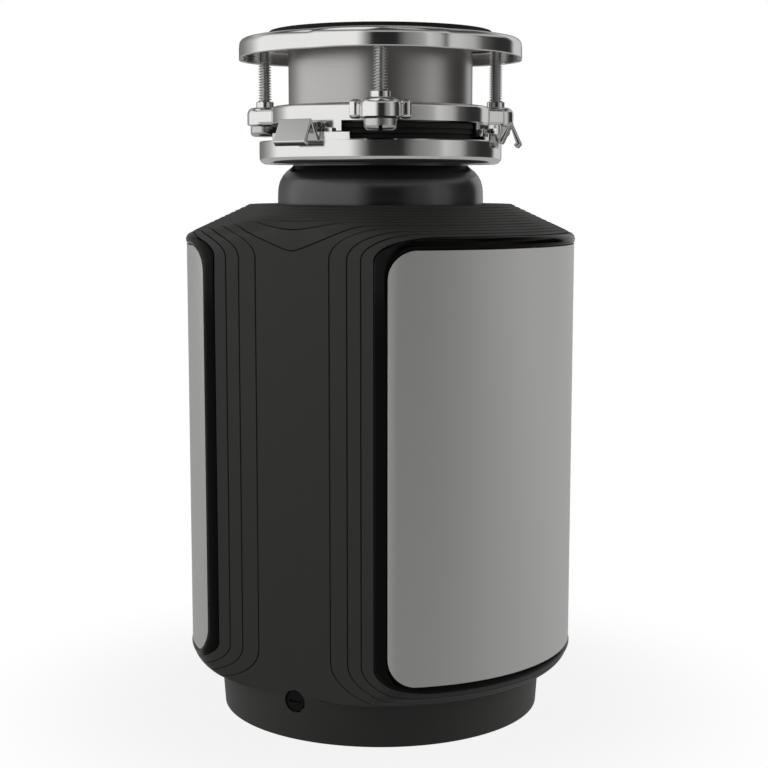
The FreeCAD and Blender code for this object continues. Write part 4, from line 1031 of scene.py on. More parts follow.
    def _trim(self, contours: Contours) -> None:
        """Build the bezels and the panels."""
        outer = contours.panel_line(3)
        inner = contours.window()
        section = (
            (0.0, -1.9), (0.035, -1.2), (0.045, -0.25), (0.09, 0.12), (0.2, 0.32), (0.38, 0.38),
            (0.6, 0.34), (0.8, 0.16), (0.93, -0.05), (0.965, -0.35), (0.97, -1.9),
        )
        rows = [self.form.skin(*self._between(outer, inner, share), lift * MM) for share, lift in section]
        front = mesh_from_grid("bezel", two_halves(np.array(rows)))
        inside = Vector((0.0, 0.0, self.form.deck_height / 2))
        outward(front, inside)
        modify(front, "SOLIDIFY", thickness=0.3 * MM, offset=-1.0, use_rim=True)
        rear = turned_about_axis(copy_of(front, "bezel_copy"), 180.0)
        finish_piece(front, "bezel_front", GLOSS_BLACK, ["front_bezel"], "housing", 50.0)
        finish_piece(rear, "bezel_rear", GLOSS_BLACK, ["rear_bezel"], "housing", 50.0)

        run, height = contours.window(self.panel_gap)
        count = contours.top_columns + contours.bend_columns
        top = (run[:count], height[:count])
        bottom = (run[-count:][::-1], height[-count:][::-1])
        shares = np.linspace(0.0, 1.0, 9)
        rows = [self.form.skin(*self._between(top, bottom, share), -0.05 * MM) for share in shares]
        panel = mesh_from_grid("panel", two_halves(np.array(rows)))
        outward(panel, inside)
        modify(panel, "SOLIDIFY", thickness=self.panel_sheet, offset=-1.0, use_rim=True)
        bevel(panel, 0.25 * MM, 60.0, 2)
        back = turned_about_axis(copy_of(panel, "panel_copy"), 180.0)
        finish_piece(panel, "panel_front", PANEL_STEEL, ["front_panel"], "housing", 30.0)
        finish_piece(back, "panel_rear", PANEL_STEEL, ["rear_panel"], "housing", 30.0)


# ---------------------------------------------------------------- neck and container


@dataclass
class Container:
    """Grinding container with its neck and lip, and the outlet boss."""

    boss_start: float = 69.0 * MM
    boss_ears: Span = (61.5 * MM, 17.6 * MM)
    boss_radius: float = 19.4 * MM
    bore: float = 16.5 * MM

    def build(self) -> None:
        """Turn the container and add the boss."""
        low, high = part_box("grinding_container")
        foot, lip_top = low.z, high.z
        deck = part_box("outer_shell")[1].z
        outside = [
            *raised(foot, (70.9, 0.0), (70.9, 2.5), (69.5, 2.6)),
            *raised(
                deck, (69.5, -15.4), (63.5, -9.4), (52.0, -6.9), (48.0, -3.4), (48.0, 3.0), (47.9, 6.0),
                (47.6, 8.5), (46.9, 10.8), (45.6, 13.1), (43.9, 15.1), (42.0, 16.6), (40.9, 17.6),
            ),
            *raised(lip_top, (40.9, -2.8), (44.2, -2.8), (44.5, -2.4), (44.5, -0.5), (44.0, 0.0)),
        ]
        inside = [
            *raised(lip_top, (38.2, 0.0), (37.9, -0.4)),
            *raised(deck, (37.9, 11.4), (44.9, 7.4), (45.0, -4.2), (51.0, -9.8), (61.5, -12.4)),
            *raised(deck, (66.5, -17.0)),
            *raised(foot, (66.5, 0.0)),
        ]
        piece = turn_profile("container", outside + inside, 160)
        finish_piece(piece, "container_body", NECK_BLACK, ["grinding_container"], "housing", 32.0)
        self._boss()

    def _boss(self) -> None:
        """Outlet boss that shows in the shell's opening."""
        gasket_low, gasket_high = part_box("outlet_gasket")
        middle = (gasket_low.z + gasket_high.z) / 2
        end = gasket_low.x
        depth = end - self.boss_start
        centre = ((self.boss_start + end) / 2, 0.0, middle)
        plate = block("boss", (depth, *self.boss_ears), centre)
        fuse_with(plate, [drum("tube", self.boss_radius, depth, centre, "X", 64)])
        cut_away(plate, [drum("bore", self.bore, 40.0 * MM, (end, 0.0, middle), "X", 64)])
        bevel(plate, 0.3 * MM, 60.0)
        finish_piece(plate, "outlet_boss", NECK_BLACK, ["grinding_container"], "housing")


# ---------------------------------------------------------------- sink mount


@dataclass
class Mount:
    """Sink mount: lower and upper rings, screws, sleeve, flange and the gaskets."""

    screw_angles: tuple[float, ...] = (-150.0, -30.0, 90.0)
    tab_angles: tuple[float, ...] = (172.5, -67.5, 52.5)
    screw_circle: float = 64.7 * MM
    thread_pitch: float = 1.27 * MM
    lobe_centre: float = 30.0 * MM
    lobe_radius: float = 40.9 * MM
    flange_circle: float = 65.3 * MM
    ring_height: float = 10.5 * MM
    ring_gap: float = 8.0 * MM
    band_height: float = 8.0 * MM
    ring_walls: Span = (53.4 * MM, 56.3 * MM)
    wall_root: float = 1.0 * MM
    upstand_rise: float = 3.1 * MM
    upstand_turns: Span = (-22.5, 24.0)
    finger_walls: Span = (50.8 * MM, 55.5 * MM)
    finger_turns: Span = (-8.0, 8.0)
    finger_gap: float = 0.4 * MM
    ramp_turns: Span = (-22.0, 14.0)
    stop_turns: Span = (9.0, 18.0)
    wrench_lug_half: float = 9.2 * MM
    wrench_lug_sheet: float = 2.3 * MM
    screw_hole: float = 3.2 * MM
    bridge_start: float = 48.8 * MM
    head_height: float = 5.0 * MM
    thread_root: float = 2.2
    thread_rise: float = 0.95
    thread_flank: Span = (2.2, 0.6)
    thread_end: float = 0.8 * MM
    thread_corners: int = 28
    thread_rows: int = 10
    flange_sheet: float = 2.0 * MM
    baffle_slits: int = 6
    gasket_ribs: int = 5

    def __post_init__(self) -> None:
        """Take the heights from the frame."""
        self.ring_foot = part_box("lower_mounting_ring")[0].z
        self.ring_top = self.ring_foot + self.ring_height
        self.band_foot = self.ring_top + self.ring_gap
        self.band_top = self.band_foot + self.band_height
        self.finger_top = self.band_foot - self.finger_gap
        self.flange_foot, self.flange_top = (corner.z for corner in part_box("backup_flange"))
        self.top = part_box("fibre_gasket")[1].z

    def build(self) -> None:
        """Build every piece of the mount."""
        self._lower_ring()
        self._upper_ring()
        self._screws()
        self._sleeve()
        self._flange()
        self._gaskets()

    def _lower_ring(self) -> None:
        """Lower mounting ring with its rounded foot, upstands and wrench lugs."""
        foot, top = self.ring_foot, self.ring_top
        profile = raised(foot, (45.3, 0.2), (45.6, 0.0), (52.6, 0.0))
        profile += arc_profile((53.2 * MM, foot + 3.2 * MM), 3.2 * MM, -80.0, 0.0, 7)
        profile += raised(top, (56.4, -0.5), (56.0, 0.0), (53.7, 0.0), (53.3, -0.4))
        profile += raised(foot, (53.3, 3.2), (52.5, 2.5), (45.3, 2.4))
        ring = turn_profile("lower_ring", profile, 144)
        pieces = [ring]
        for angle in self.tab_angles:
            pieces += [self._upstand(angle), self._finger(angle), self._wrench_lug(angle)]
        joined = join(pieces)
        finish_piece(joined, "lower_ring", NICKEL, ["lower_mounting_ring"], "lower_ring", 38.0)

    def _arc_wall(self, radii: Span, heights: Span, angle: float, turns: Span) -> bpy.types.Object:
        """A curved wall, spun from its end face.

        Args:
            radii: inner and outer radius.
            heights: lower and upper height.
            angle: direction that the turns are measured from, in degrees.
            turns: first and last turn from that direction, in degrees.

        Returns:
            The wall.
        """
        inside, outside = radii
        foot, top = heights
        first, last = angle + turns[0], angle + turns[1]
        place = ((inside + outside) / 2, 0.0, (foot + top) / 2)
        deselect()
        bpy.ops.mesh.primitive_plane_add(size=1.0, location=place, rotation=(math.pi / 2, 0.0, 0.0))
        wall = bpy.context.object
        wall.scale = (outside - inside, top - foot, 1.0)
        settle(wall)
        turned_about_axis(wall, first)
        activate(wall)
        bpy.ops.object.mode_set(mode="EDIT")
        bpy.ops.mesh.select_all(action="SELECT")
        bpy.ops.mesh.spin(
            steps=max(int((last - first) / 2.5), 2), angle=math.radians(first - last),
            center=(0.0, 0.0, 0.0), axis=(0.0, 0.0, 1.0),
        )
        bpy.ops.object.mode_set(mode="OBJECT")
        shape = bmesh.new()
        shape.from_mesh(wall.data)
        bmesh.ops.holes_fill(shape, edges=[edge for edge in shape.edges if edge.is_boundary])
        bmesh.ops.recalc_face_normals(shape, faces=shape.faces)
        shape.to_mesh(wall.data)
        shape.free()
        bevel(wall, 0.35 * MM, 40.0)
        return wall

    def _upstand(self, angle: float) -> bpy.types.Object:
        """Raised wall beside a tab."""
        heights = (self.ring_top - self.wall_root, self.ring_top + self.upstand_rise)
        return self._arc_wall(self.ring_walls, heights, angle, self.upstand_turns)

    def _finger(self, angle: float) -> bpy.types.Object:
        """Inward finger that hooks over a ramp, with the wall that carries it."""
        top, turns = self.finger_top, self.finger_turns
        wall = self._arc_wall(self.ring_walls, (self.ring_top - self.wall_root, top), angle, turns)
        finger = self._arc_wall(self.finger_walls, (top - 2.2 * MM, top - 0.05 * MM), angle, turns)
        return join([wall, finger])

    def _wrench_lug(self, angle: float) -> bpy.types.Object:
        """Bent sheet lug: out over the ring's wall, down along a slope, and a short lip inward."""
        half = self.wrench_lug_half
        line = raised(
            self.finger_top, (55.9, -8.4), (56.6, -7.4), (60.9, 0.2), (64.6, -8.7), (63.2, -10.1)
        )
        rows = [np.array([[radius, -half, height], [radius, half, height]]) for radius, height in line]
        lug = mesh_from_grid("lug", [np.array(rows)])
        modify(lug, "SOLIDIFY", thickness=self.wrench_lug_sheet, offset=0.0, use_rim=True)
        bevel(lug, 0.5 * MM, 25.0, 3)
        return turned_about_axis(lug, angle)

    def _upper_ring(self) -> None:
        """Upper mounting ring: rounded band, web, ramps with their stops, and the screw lugs."""
        foot, top = self.band_foot, self.band_top
        profile = raised(foot, (47.8, 0.0), (50.4, 0.0), (50.6, 0.2))
        profile += arc_profile((48.8 * MM, top - 1.8 * MM), 1.8 * MM, 0.0, 90.0, 6)
        profile += raised(top, (43.6, 0.0), (43.2, -0.4), (43.2, -3.0), (47.6, -3.0))
        pieces = [turn_profile("upper_ring", profile, 144)]
        web_foot = foot - 6.4 * MM
        web = ((48.7 * MM, 50.3 * MM), (web_foot, top - 1.5 * MM), self.ramp_turns)
        ramp = ((48.8 * MM, 52.9 * MM), (web_foot, foot - 3.0 * MM), self.ramp_turns)
        stop = ((48.7 * MM, 50.64 * MM), (foot - 4.6 * MM, top - 2.4 * MM), self.stop_turns)
        for angle in self.tab_angles:
            for radii, heights, turns in (web, ramp, stop):
                pieces.append(self._arc_wall(radii, heights, angle, turns))
        for angle in self.screw_angles:
            pieces += self._screw_lug(angle)
        joined = join(pieces)
        finish_piece(joined, "upper_ring", NICKEL, ["upper_mounting_ring"], "housing", 38.0)

    def _screw_lug(self, angle: float) -> list[bpy.types.Object]:
        """Lug that the screw passes through: a dome on a bridge, a collar and two pads."""
        foot, top = self.band_foot + 0.5 * MM, self.band_top + 1.2 * MM
        reach, hole, start = self.screw_circle, self.screw_hole, self.bridge_start
        profile = [(hole, foot), *raised(foot, (8.2, 0.0), (8.7, 0.5))]
        profile += arc_profile((5.4 * MM, top - 3.3 * MM), 3.3 * MM, 0.0, 90.0, 7)
        profile += [(hole, top)]
        lug = turn_profile("lug", profile, 64)
        lug.data.transform(Matrix.Translation((reach, 0.0, 0.0)))
        centre = ((reach + start) / 2, 0.0, foot + 3.8 * MM)
        bridge = block("bridge", (reach - start, 17.2 * MM, 7.6 * MM), centre)
        bevel(bridge, 1.6 * MM, 60.0, 4)
        cut_away(bridge, [drum("hole", hole, 30.0 * MM, (reach, 0.0, foot), "Z", 32)])
        pads = []
        for side in (-10.9 * MM, 10.9 * MM):
            pad = drum("pad", 2.8 * MM, 8.4 * MM, (50.6 * MM, side, foot + 4.3 * MM), "Z", 32)
            bevel(pad, 1.7 * MM, 60.0, 5)
            pads.append(pad)
        rim = self.band_top + 4.1 * MM
        collar = turn_profile(
            "collar",
            [
                *raised(self.band_top, (3.2, 0.0), (4.35, 0.0)),
                *raised(rim, (4.35, -0.5), (3.9, 0.0), (3.3, 0.0), (3.2, -0.1)),
            ],
            40,
        )
        collar.data.transform(Matrix.Translation((reach, 0.0, 0.0)))
        return [turned_about_axis(piece, angle) for piece in (lug, bridge, *pads, collar)]

    def _screws(self) -> None:
        """Three slotted screws with a real thread."""
        low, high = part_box("mounting_screw_3")
        head_top, tip = low.z + self.head_height, high.z
        for index, angle in enumerate(self.screw_angles, start=1):
            head = self._screw_head(head_top)
            thread = self._thread(head_top, tip)
            screw = join([head, thread])
            screw.data.transform(Matrix.Translation((self.screw_circle, 0.0, 0.0)))
            turned_about_axis(screw, angle)
            name = f"mounting_screw_{index}"
            finish_piece(screw, f"screw_piece_{index}", SCREW_ZINC, [name], f"screw_{index}", 28.0)

    def _screw_head(self, top: float) -> bpy.types.Object:
        """Fillister head with a rounded lower edge and a slot across it."""
        foot = top - self.head_height
        profile = [*raised(top, (0.3, 0.0), (7.0, 0.0), (7.2, -0.2)), *raised(foot, (7.2, 2.2))]
        profile += arc_profile((5.2 * MM, foot + 2.0 * MM), 2.0 * MM, 0.0, -90.0, 6)
        profile += raised(foot, (0.3, 0.0))
        head = turn_profile("head", profile, 56, closed=False)
        close_ends(head)
        slot = block("slot", (18.0 * MM, 1.7 * MM, 4.0 * MM), (0.0, 0.0, foot))
        cut_away(head, [slot])
        return head

    def _thread(self, foot: float, tip: float) -> bpy.types.Object:
        """Threaded shank: rings of points whose radius follows the thread as it winds up.

        Args:
            foot: lower end, inside the head.
            tip: upper end.

        Returns:
            The closed shank.
        """
        turns = (tip - foot) / self.thread_pitch
        angles = np.linspace(0.0, 2.0 * math.pi, self.thread_corners + 1)
        heights = np.linspace(foot, tip, int(turns * self.thread_rows) + 1)
        steepness, gap = self.thread_flank
        rows = []
        for height in heights:
            wave = (height / self.thread_pitch - angles / (2.0 * math.pi)) % 1.0
            ridge = np.clip(steepness * (1.0 - np.abs(2.0 * wave - 1.0)) - gap, 0.0, 1.0)
            end = min((tip - height) / self.thread_end, 1.0)
            radius = (self.thread_root + self.thread_rise * ridge * end) * MM
            rows.append(ring_points(radius, angles, height))
        on_axis = np.array([0.0, 0.0, 1.0])
        first, last = rows[0] * on_axis, rows[-1] * on_axis
        return mesh_from_grid("thread", [np.array([first, *rows, last])], 0.001 * MM)

    def _sleeve(self) -> None:
        """Sink sleeve with a rolled lower edge."""
        low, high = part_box("sink_sleeve")
        foot, top = low.z, high.z
        groove = self.band_top - 4.3 * MM
        profile = [
            *raised(foot, (41.2, 0.3), (41.5, 0.0), (42.4, 0.0), (42.7, 0.4)),
            *raised(groove, (42.7, -1.1), (41.95, -1.1), (41.95, 1.1), (42.7, 1.1)),
            *raised(top, (42.7, -0.4), (42.3, 0.0), (41.6, 0.0), (41.2, -0.4)),
        ]
        piece = turn_profile("sleeve", profile, 160)
        finish_piece(piece, "sleeve", SLEEVE_STEEL, ["sink_sleeve"], "housing", 30.0)

    def _flange_radius(self, angle: float) -> float:
        """Outline of the backup flange: a circle with a broad round lobe at each screw.

        Args:
            angle: direction in degrees.

        Returns:
            The radius.
        """
        nearest = min(abs((angle - screw + 180.0) % 360.0 - 180.0) for screw in self.screw_angles)
        turn = math.radians(min(nearest, 60.0))
        across = self.lobe_centre * math.sin(turn)
        lobe = self.lobe_centre * math.cos(turn) + math.sqrt(self.lobe_radius**2 - across**2)
        return -float(smooth_min(np.array(-lobe), np.array(-self.flange_circle), 0.5 * MM))

    def _flange(self) -> None:
        """Backup flange: a pressed pan with a lobed outline and a turned down rim."""
        foot, top = self.flange_foot, self.flange_top
        section = [
            *raised(foot, (0.0, 0.3), (0.0, 1.0)),
            *raised(top, (0.0, -3.6), (0.0, -3.0), (0.25, -1.9), (0.95, -0.9), (2.0, -0.3), (3.4, 0.0)),
        ]
        count = 288
        angles = np.radians(np.linspace(0.0, 360.0, count + 1))
        radii = np.array([self._flange_radius(math.degrees(a)) for a in angles])
        rows = [ring_points(radii - inset, angles, height) for inset, height in section]
        dished = raised(top, (54.0, 0.0), (53.0, -0.35), (43.2, -0.35))
        rows += [ring_points(radius, angles, height) for radius, height in dished]
        pan = mesh_from_grid("flange", [np.array(rows)])
        outward(pan, Vector((0.0, 0.0, foot - 20.0 * MM)))
        sheet = self.flange_sheet
        modify(pan, "SOLIDIFY", thickness=sheet, offset=-1.0, use_rim=True, use_even_offset=True)
        bevel(pan, 0.35 * MM, 60.0, 2)
        finish_piece(pan, "flange", NICKEL, ["backup_flange"], "housing", 40.0)

    def _gaskets(self) -> None:
        """Fibre gasket, rubber mounting gasket and the splash baffle with its flaps."""
        low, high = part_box("fibre_gasket")
        profile = [
            *raised(low.z, (43.2, -0.3), (51.4, -0.3), (51.9, 0.4)),
            *raised(high.z, (51.9, -0.6), (51.3, 0.0), (43.6, 0.0), (43.2, -0.4)),
        ]
        finish_piece(turn_profile("fibre", profile, 128), "fibre_ring", FIBRE, ["fibre_gasket"], "housing")

        low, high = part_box("mounting_gasket")
        foot, top = low.z, high.z
        profile = raised(foot, (44.9, 0.0), (47.6, 0.0), (48.2, 0.6))
        for rib in range(self.gasket_ribs):
            height = foot + (2.2 + 2.4 * rib) * MM
            profile += raised(height, (48.2, 0.0), (47.5, 0.3), (47.5, 0.7), (48.2, 1.0))
        profile += raised(top, (48.2, -0.6), (47.6, 0.0), (43.6, 0.0), (43.1, -0.5))
        profile += raised(foot, (43.1, 5.4), (41.1, 5.4), (41.1, 3.0), (44.9, 3.0))
        cushion = turn_profile("cushion", profile, 128)
        finish_piece(cushion, "rubber_cushion", BLACK_RUBBER, ["mounting_gasket"], "housing")
        self._baffle()

    def _baffle(self) -> None:
        """Splash baffle: a soft cup whose floor is slit into dished flaps."""
        low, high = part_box("splash_baffle")
        foot, top = low.z, high.z
        profile = [
            *raised(top, (40.5, -0.4), (40.1, 0.0), (36.0, 0.0), (35.5, -0.5)),
            *raised(foot, (35.3, 5.0), (33.5, 3.2), (9.2, 1.8), (9.0, 1.4), (9.2, 0.2), (33.5, 0.4)),
            *raised(foot, (37.3, 3.4), (37.5, 5.0)),
            *raised(top, (37.5, -2.2), (40.5, -2.0)),
        ]
        cup = turn_profile("cup", profile, 96)
        slits = []
        for index in range(self.baffle_slits):
            slit = block("slit", (25.0 * MM, 1.2 * MM, 12.0 * MM), (18.5 * MM, 0.0, foot))
            slits.append(turned_about_axis(slit, 360.0 / self.baffle_slits * index))
        cut_away(cup, slits)
        finish_piece(cup, "splash_cup", BLACK_RUBBER, ["splash_baffle"], "housing", 32.0)


# ---------------------------------------------------------------- outlet, inlet and bottom


@dataclass
class Plumbing:
    """Tailpipe elbow with its flange, gasket and bolts, and the dishwasher nipple.

    The pipe's radii are in millimetres, the other sizes in metres.
    """

    pipe_radius: float = 19.0
    pipe_bore: float = 16.9
    pipe_edge: float = 17.3
    bend: float = 24.0 * MM
    bend_steps: int = 14
    ear_radius: float = 8.9 * MM
    ear_height: float = 17.2 * MM
    bolt_radius: float = 4.6 * MM

    def build(self) -> None:
        """Build the pieces on the right flat."""
        self._elbow()
        self._flange()
        self._nipple()

    def _elbow(self) -> None:
        """Moulded elbow: a straight start, a quarter bend and a straight end with a bead."""
        low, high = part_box("tailpipe_elbow")
        start = low.x
        level = (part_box("outlet_flange")[0].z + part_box("outlet_flange")[1].z) / 2
        end_x = high.x - self.pipe_radius * MM - 0.05 * MM
        bend_start = end_x - self.bend
        flare = ((0.0, 20.2), (0.3, 20.4), (2.3, 20.4), (2.6, 19.2))
        route = [((start + along * MM, 0.0), radius) for along, radius in flare]
        route.append(((bend_start - 1.0 * MM, 0.0), self.pipe_radius))
        for step in range(self.bend_steps + 1):
            turn = math.pi / 2 * step / self.bend_steps
            point = (bend_start + self.bend * math.sin(turn), -self.bend * (1.0 - math.cos(turn)))
            route.append((point, self.pipe_radius))
        drop = level - self.bend - low.z
        for share, radius in ((0.25, 19.0), (0.3, 19.0), (0.94, 19.0), (0.99, 18.8), (1.0, 18.4)):
            route.append(((end_x, -self.bend - drop * share), radius))
        inner = [(point, self.pipe_bore) for point, _ in reversed(route[1:-1])]
        loop = [*route, (route[-1][0], self.pipe_edge), *inner, (route[0][0], self.pipe_edge)]
        rows = []
        angles = np.radians(np.linspace(0.0, 360.0, 73))
        for (x, drop_z), radius in loop + loop[:1]:
            along = self._direction(x, drop_z, bend_start, end_x)
            side = np.array([0.0, 1.0, 0.0])
            up = np.cross(side, along)
            centre = np.array([x, 0.0, level + drop_z])
            ring = centre + radius * MM * (np.outer(np.cos(angles), side) + np.outer(np.sin(angles), up))
            rows.append(ring)
        elbow = mesh_from_grid("elbow", [np.array(rows)])
        finish_piece(elbow, "elbow", NECK_BLACK, ["tailpipe_elbow"], "housing", 40.0)

    def _direction(self, x: float, drop: float, bend_start: float, end_x: float) -> np.ndarray:
        """Direction of the pipe at a point of its route."""
        if x <= bend_start:
            return np.array([1.0, 0.0, 0.0])
        if drop <= -self.bend or x >= end_x:
            return np.array([0.0, 0.0, -1.0])
        turn = math.asin(min((x - bend_start) / self.bend, 1.0))
        return np.array([math.cos(turn), 0.0, -math.sin(turn)])

    def _oval(self, name: str, node: str, radius: float, bore: float) -> bpy.types.Object:
        """A plate with rounded ears, in the place of a CAD node."""
        low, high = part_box(node)
        middle = (low + high) / 2
        depth = high.x - low.x
        ear = (high.y - low.y) / 2 - 9.0 * MM
        plate = drum(name, radius, depth, middle, "X", 72)
        shapes = [block("ears", (depth, 2 * ear, self.ear_height), middle)]
        for side in (ear, -ear):
            shapes.append(drum("ear", self.ear_radius, depth, (middle.x, side, middle.z), "X", 40))
        fuse_with(plate, shapes)
        cut_away(plate, [drum("bore", bore, 20.0 * MM, middle, "X", 72)])
        bevel(plate, 0.2 * MM, 60.0, 2)
        return plate

    def _flange(self) -> None:
        """Rubber gasket, steel flange and the two hexagon bolts."""
        gasket = self._oval("gasket", "outlet_gasket", 22.4 * MM, 16.6 * MM)
        finish_piece(gasket, "outlet_seal", BLACK_RUBBER, ["outlet_gasket"], "housing")
        flange = self._oval("plate", "outlet_flange", 23.9 * MM, 19.3 * MM)
        finish_piece(flange, "outlet_plate", SCREW_ZINC, ["outlet_flange"], "housing")
        low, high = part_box("outlet_bolts")
        middle = (low + high) / 2
        plate_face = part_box("outlet_flange")[1].x
        bolts = []
        depth = high.x - plate_face
        shank_middle = (plate_face + low.x) / 2
        for side in (low.y + self.bolt_radius, high.y - self.bolt_radius):
            head = drum("head", self.bolt_radius, depth, (plate_face + depth / 2, side, middle.z), "X", 6)
            bevel(head, 0.4 * MM, 40.0, 2)
            washer = drum("washer", 4.55 * MM, 0.6 * MM, (plate_face + 0.3 * MM, side, middle.z), "X", 40)
            shank = drum("shank", 2.5 * MM, plate_face - low.x, (shank_middle, side, middle.z), "X", 24)
            bolts += [head, washer, shank]
        finish_piece(join(bolts), "outlet_bolt_pair", SCREW_ZINC, ["outlet_bolts"], "housing")

    def _nipple(self) -> None:
        """Dishwasher nipple with shallow hose ridges."""
        low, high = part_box("dishwasher_inlet")
        level = (low.z + high.z) / 2
        length = high.x - low.x
        profile = raised(0.0, (8.6, 0.0), (11.5, 0.0), (11.5, 11.4), (11.05, 11.6))
        for ridge in range(3):
            start = (15.6 + 3.8 * ridge) * MM
            profile += raised(start, (10.6, 0.0), (11.1, 0.6), (11.1, 1.4), (10.6, 3.2))
        profile += raised(length, (10.5, -0.6), (10.0, 0.0), (9.0, 0.0), (8.6, -0.4))
        nipple = turn_profile("nipple", profile, 64)
        collar = turn_profile("collar", raised(0.0, (11.5, 0.0), (14.0, 0.0), (14.0, 3.0), (11.5, 3.0)), 64)
        for piece, start in ((nipple, low.x), (collar, 69.9 * MM)):
            piece.data.transform(Matrix.Rotation(math.pi / 2, 4, "Y"))
            piece.data.transform(Matrix.Translation((start, 0.0, level)))
        finish_piece(join([nipple, collar]), "nipple", NECK_BLACK, ["dishwasher_inlet"], "housing", 45.0)


@dataclass
class Bottom:
    """Reset button with a rounded face."""

    def build(self) -> None:
        """Turn the button and set it in its place."""
        low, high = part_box("reset_button")
        middle = (low + high) / 2
        profile = [
            *raised(low.z, (0.2, 0.5), (2.6, 0.5), (3.0, 0.0), (3.9, 0.0), (4.4, 0.3), (4.5, 0.8)),
            *raised(high.z, (4.5, 0.0), (0.2, 0.0)),
        ]
        button = turn_profile("button", profile, 48, closed=False)
        close_ends(button)
        button.data.transform(Matrix.Translation((middle.x, middle.y, 0.0)))
        finish_piece(button, "button", RED_BUTTON, ["reset_button"], "reset_button")


# ---------------------------------------------------------------- studio


@dataclass(frozen=True)
class Lamp:
    """An area lamp aimed at the object; its azimuth is measured from the camera's."""

    name: str
    azimuth: float
    elevation: float
    distance: float
    size: Span
    power: float


@dataclass
class Studio:
    """Camera, soft lamps, pale floor and a white surrounding."""

    camera_azimuth: float = -60.0
    camera_distance: float = 0.740
    camera_height: float = 0.247
    camera_pitch: float = 7.32
    lens: float = 73.4
    shift: float = 0.0046
    aim_height: float = 0.16
    lamps: tuple[Lamp, ...] = (
        Lamp("left_lamp", -70.0, 22.0, 1.1, (0.8, 1.0), 5.0),
        Lamp("right_lamp", 92.0, 12.0, 1.2, (0.6, 1.0), 10.0),
        Lamp("top_lamp", 0.0, 75.0, 1.1, (0.9, 0.9), 0.15),
    )
    floor_radius: float = 3.0
    floor_drop: float = 0.0003
    floor_tone: float = 0.36
    floor_glow: float = 0.88
    floor_fade: Span = (0.085, 0.22)
    floor_reflection: float = 0.45
    fill: float = 0.30
    fill_above: float = 0.1
    fill_fade: Span = (0.1, 0.7)
    screen_fade: Span = (0.42, 0.75)
    screen_top: float = 0.1
    ceiling_fade: Span = (0.70, 0.84)
    belt_fade: Span = (0.30, 0.48)
    belt_level: float = 0.6
    screens: tuple[tuple[float, float], ...] = (
        (-180.0, 0.12), (-145.0, 0.25), (-128.0, 0.5), (-114.0, 1.0), (-29.0, 1.0), (-18.0, 0.35),
        (-10.0, 0.02), (20.0, 0.02), (32.0, 0.22), (48.0, 0.34), (56.0, 0.42), (62.0, 0.66),
        (72.0, 0.55), (80.0, 0.48), (90.0, 0.1), (106.0, 0.03), (130.0, 0.03), (137.0, 0.7), (160.0, 0.6),
        (168.0, 0.12), (180.0, 0.12),
    )

    def build(self) -> None:
        """Build the camera, the lamps, the floor and the world."""
        self._camera()
        self._lamps()
        self._floor()
        self._world()
        bpy.context.scene.view_settings.view_transform = "Standard"

    def _camera(self) -> None:
        """Camera level with the upper part of the housing, looking slightly down."""
        data = bpy.data.cameras.new("camera")
        data.lens = self.lens
        data.sensor_width = 36.0
        data.shift_x = self.shift
        data.clip_start = 0.05
        data.clip_end = 20.0
        camera = bpy.data.objects.new("camera", data)
        bpy.context.collection.objects.link(camera)
        azimuth = math.radians(self.camera_azimuth)
        reach = self.camera_distance
        camera.location = (reach * math.sin(azimuth), -reach * math.cos(azimuth), self.camera_height)
        camera.rotation_euler = (math.radians(90.0 - self.camera_pitch), 0.0, azimuth)
        bpy.context.scene.camera = camera

    def _lamps(self) -> None:
        """A broad soft lamp from the left, one from the right and behind, and one above."""
        for lamp in self.lamps:
            data = bpy.data.lights.new(lamp.name, "AREA")
            data.shape = "RECTANGLE"
            data.size, data.size_y = lamp.size
            data.energy = lamp.power
            placed = bpy.data.objects.new(lamp.name, data)
            bpy.context.collection.objects.link(placed)
            turn, rise = math.radians(self.camera_azimuth + lamp.azimuth), math.radians(lamp.elevation)
            level = math.cos(rise)
            back = Vector((math.sin(turn) * level, -math.cos(turn) * level, math.sin(rise)))
            placed.location = Vector((0.0, 0.0, self.aim_height)) + back * lamp.distance
            placed.rotation_euler = (-back).to_track_quat("-Z", "Y").to_euler()
            placed.visible_glossy = False

    def _floor(self) -> None:
        """Round pale floor that keeps the object's shadow and fades to the white around it."""
        deselect()
        bpy.ops.mesh.primitive_circle_add(
            vertices=96, radius=self.floor_radius, fill_type="NGON", location=(0.0, 0.0, -self.floor_drop)
        )
        floor = settle(bpy.context.object)
        floor.name = "floor"
        material = bpy.data.materials.new("floor_white")
        material.use_nodes = True
        nodes = Nodes(material.node_tree)
        shader = material.node_tree.nodes["Principled BSDF"]
        tone = self.floor_tone
        shader.inputs["Base Color"].default_value = (tone, tone, tone, 1.0)
        shader.inputs["Roughness"].default_value = 0.9
        glow = nodes.add("ShaderNodeEmission", Strength=1.0)
        dim = nodes.add("ShaderNodeEmission", Strength=self.floor_reflection)
        path = nodes.add("ShaderNodeLightPath")
        place = nodes.add("ShaderNodeTexCoord")
        distance = nodes.add("ShaderNodeVectorMath", operation="LENGTH")
        nodes.join(place.outputs["Object"], distance.inputs[0])
        fade = nodes.change(distance.outputs["Value"], self.floor_fade, (self.floor_glow, 1.0))
        share = nodes.math("MULTIPLY", path.outputs["Is Camera Ray"], fade)
        seen = nodes.mix_shaders(share, shader.outputs[0], glow.outputs[0])
        mirrored = nodes.mix_shaders(path.outputs["Is Glossy Ray"], seen, dim.outputs[0])
        nodes.join(mirrored, material.node_tree.nodes["Material Output"].inputs["Surface"])
        floor.data.materials.append(material)

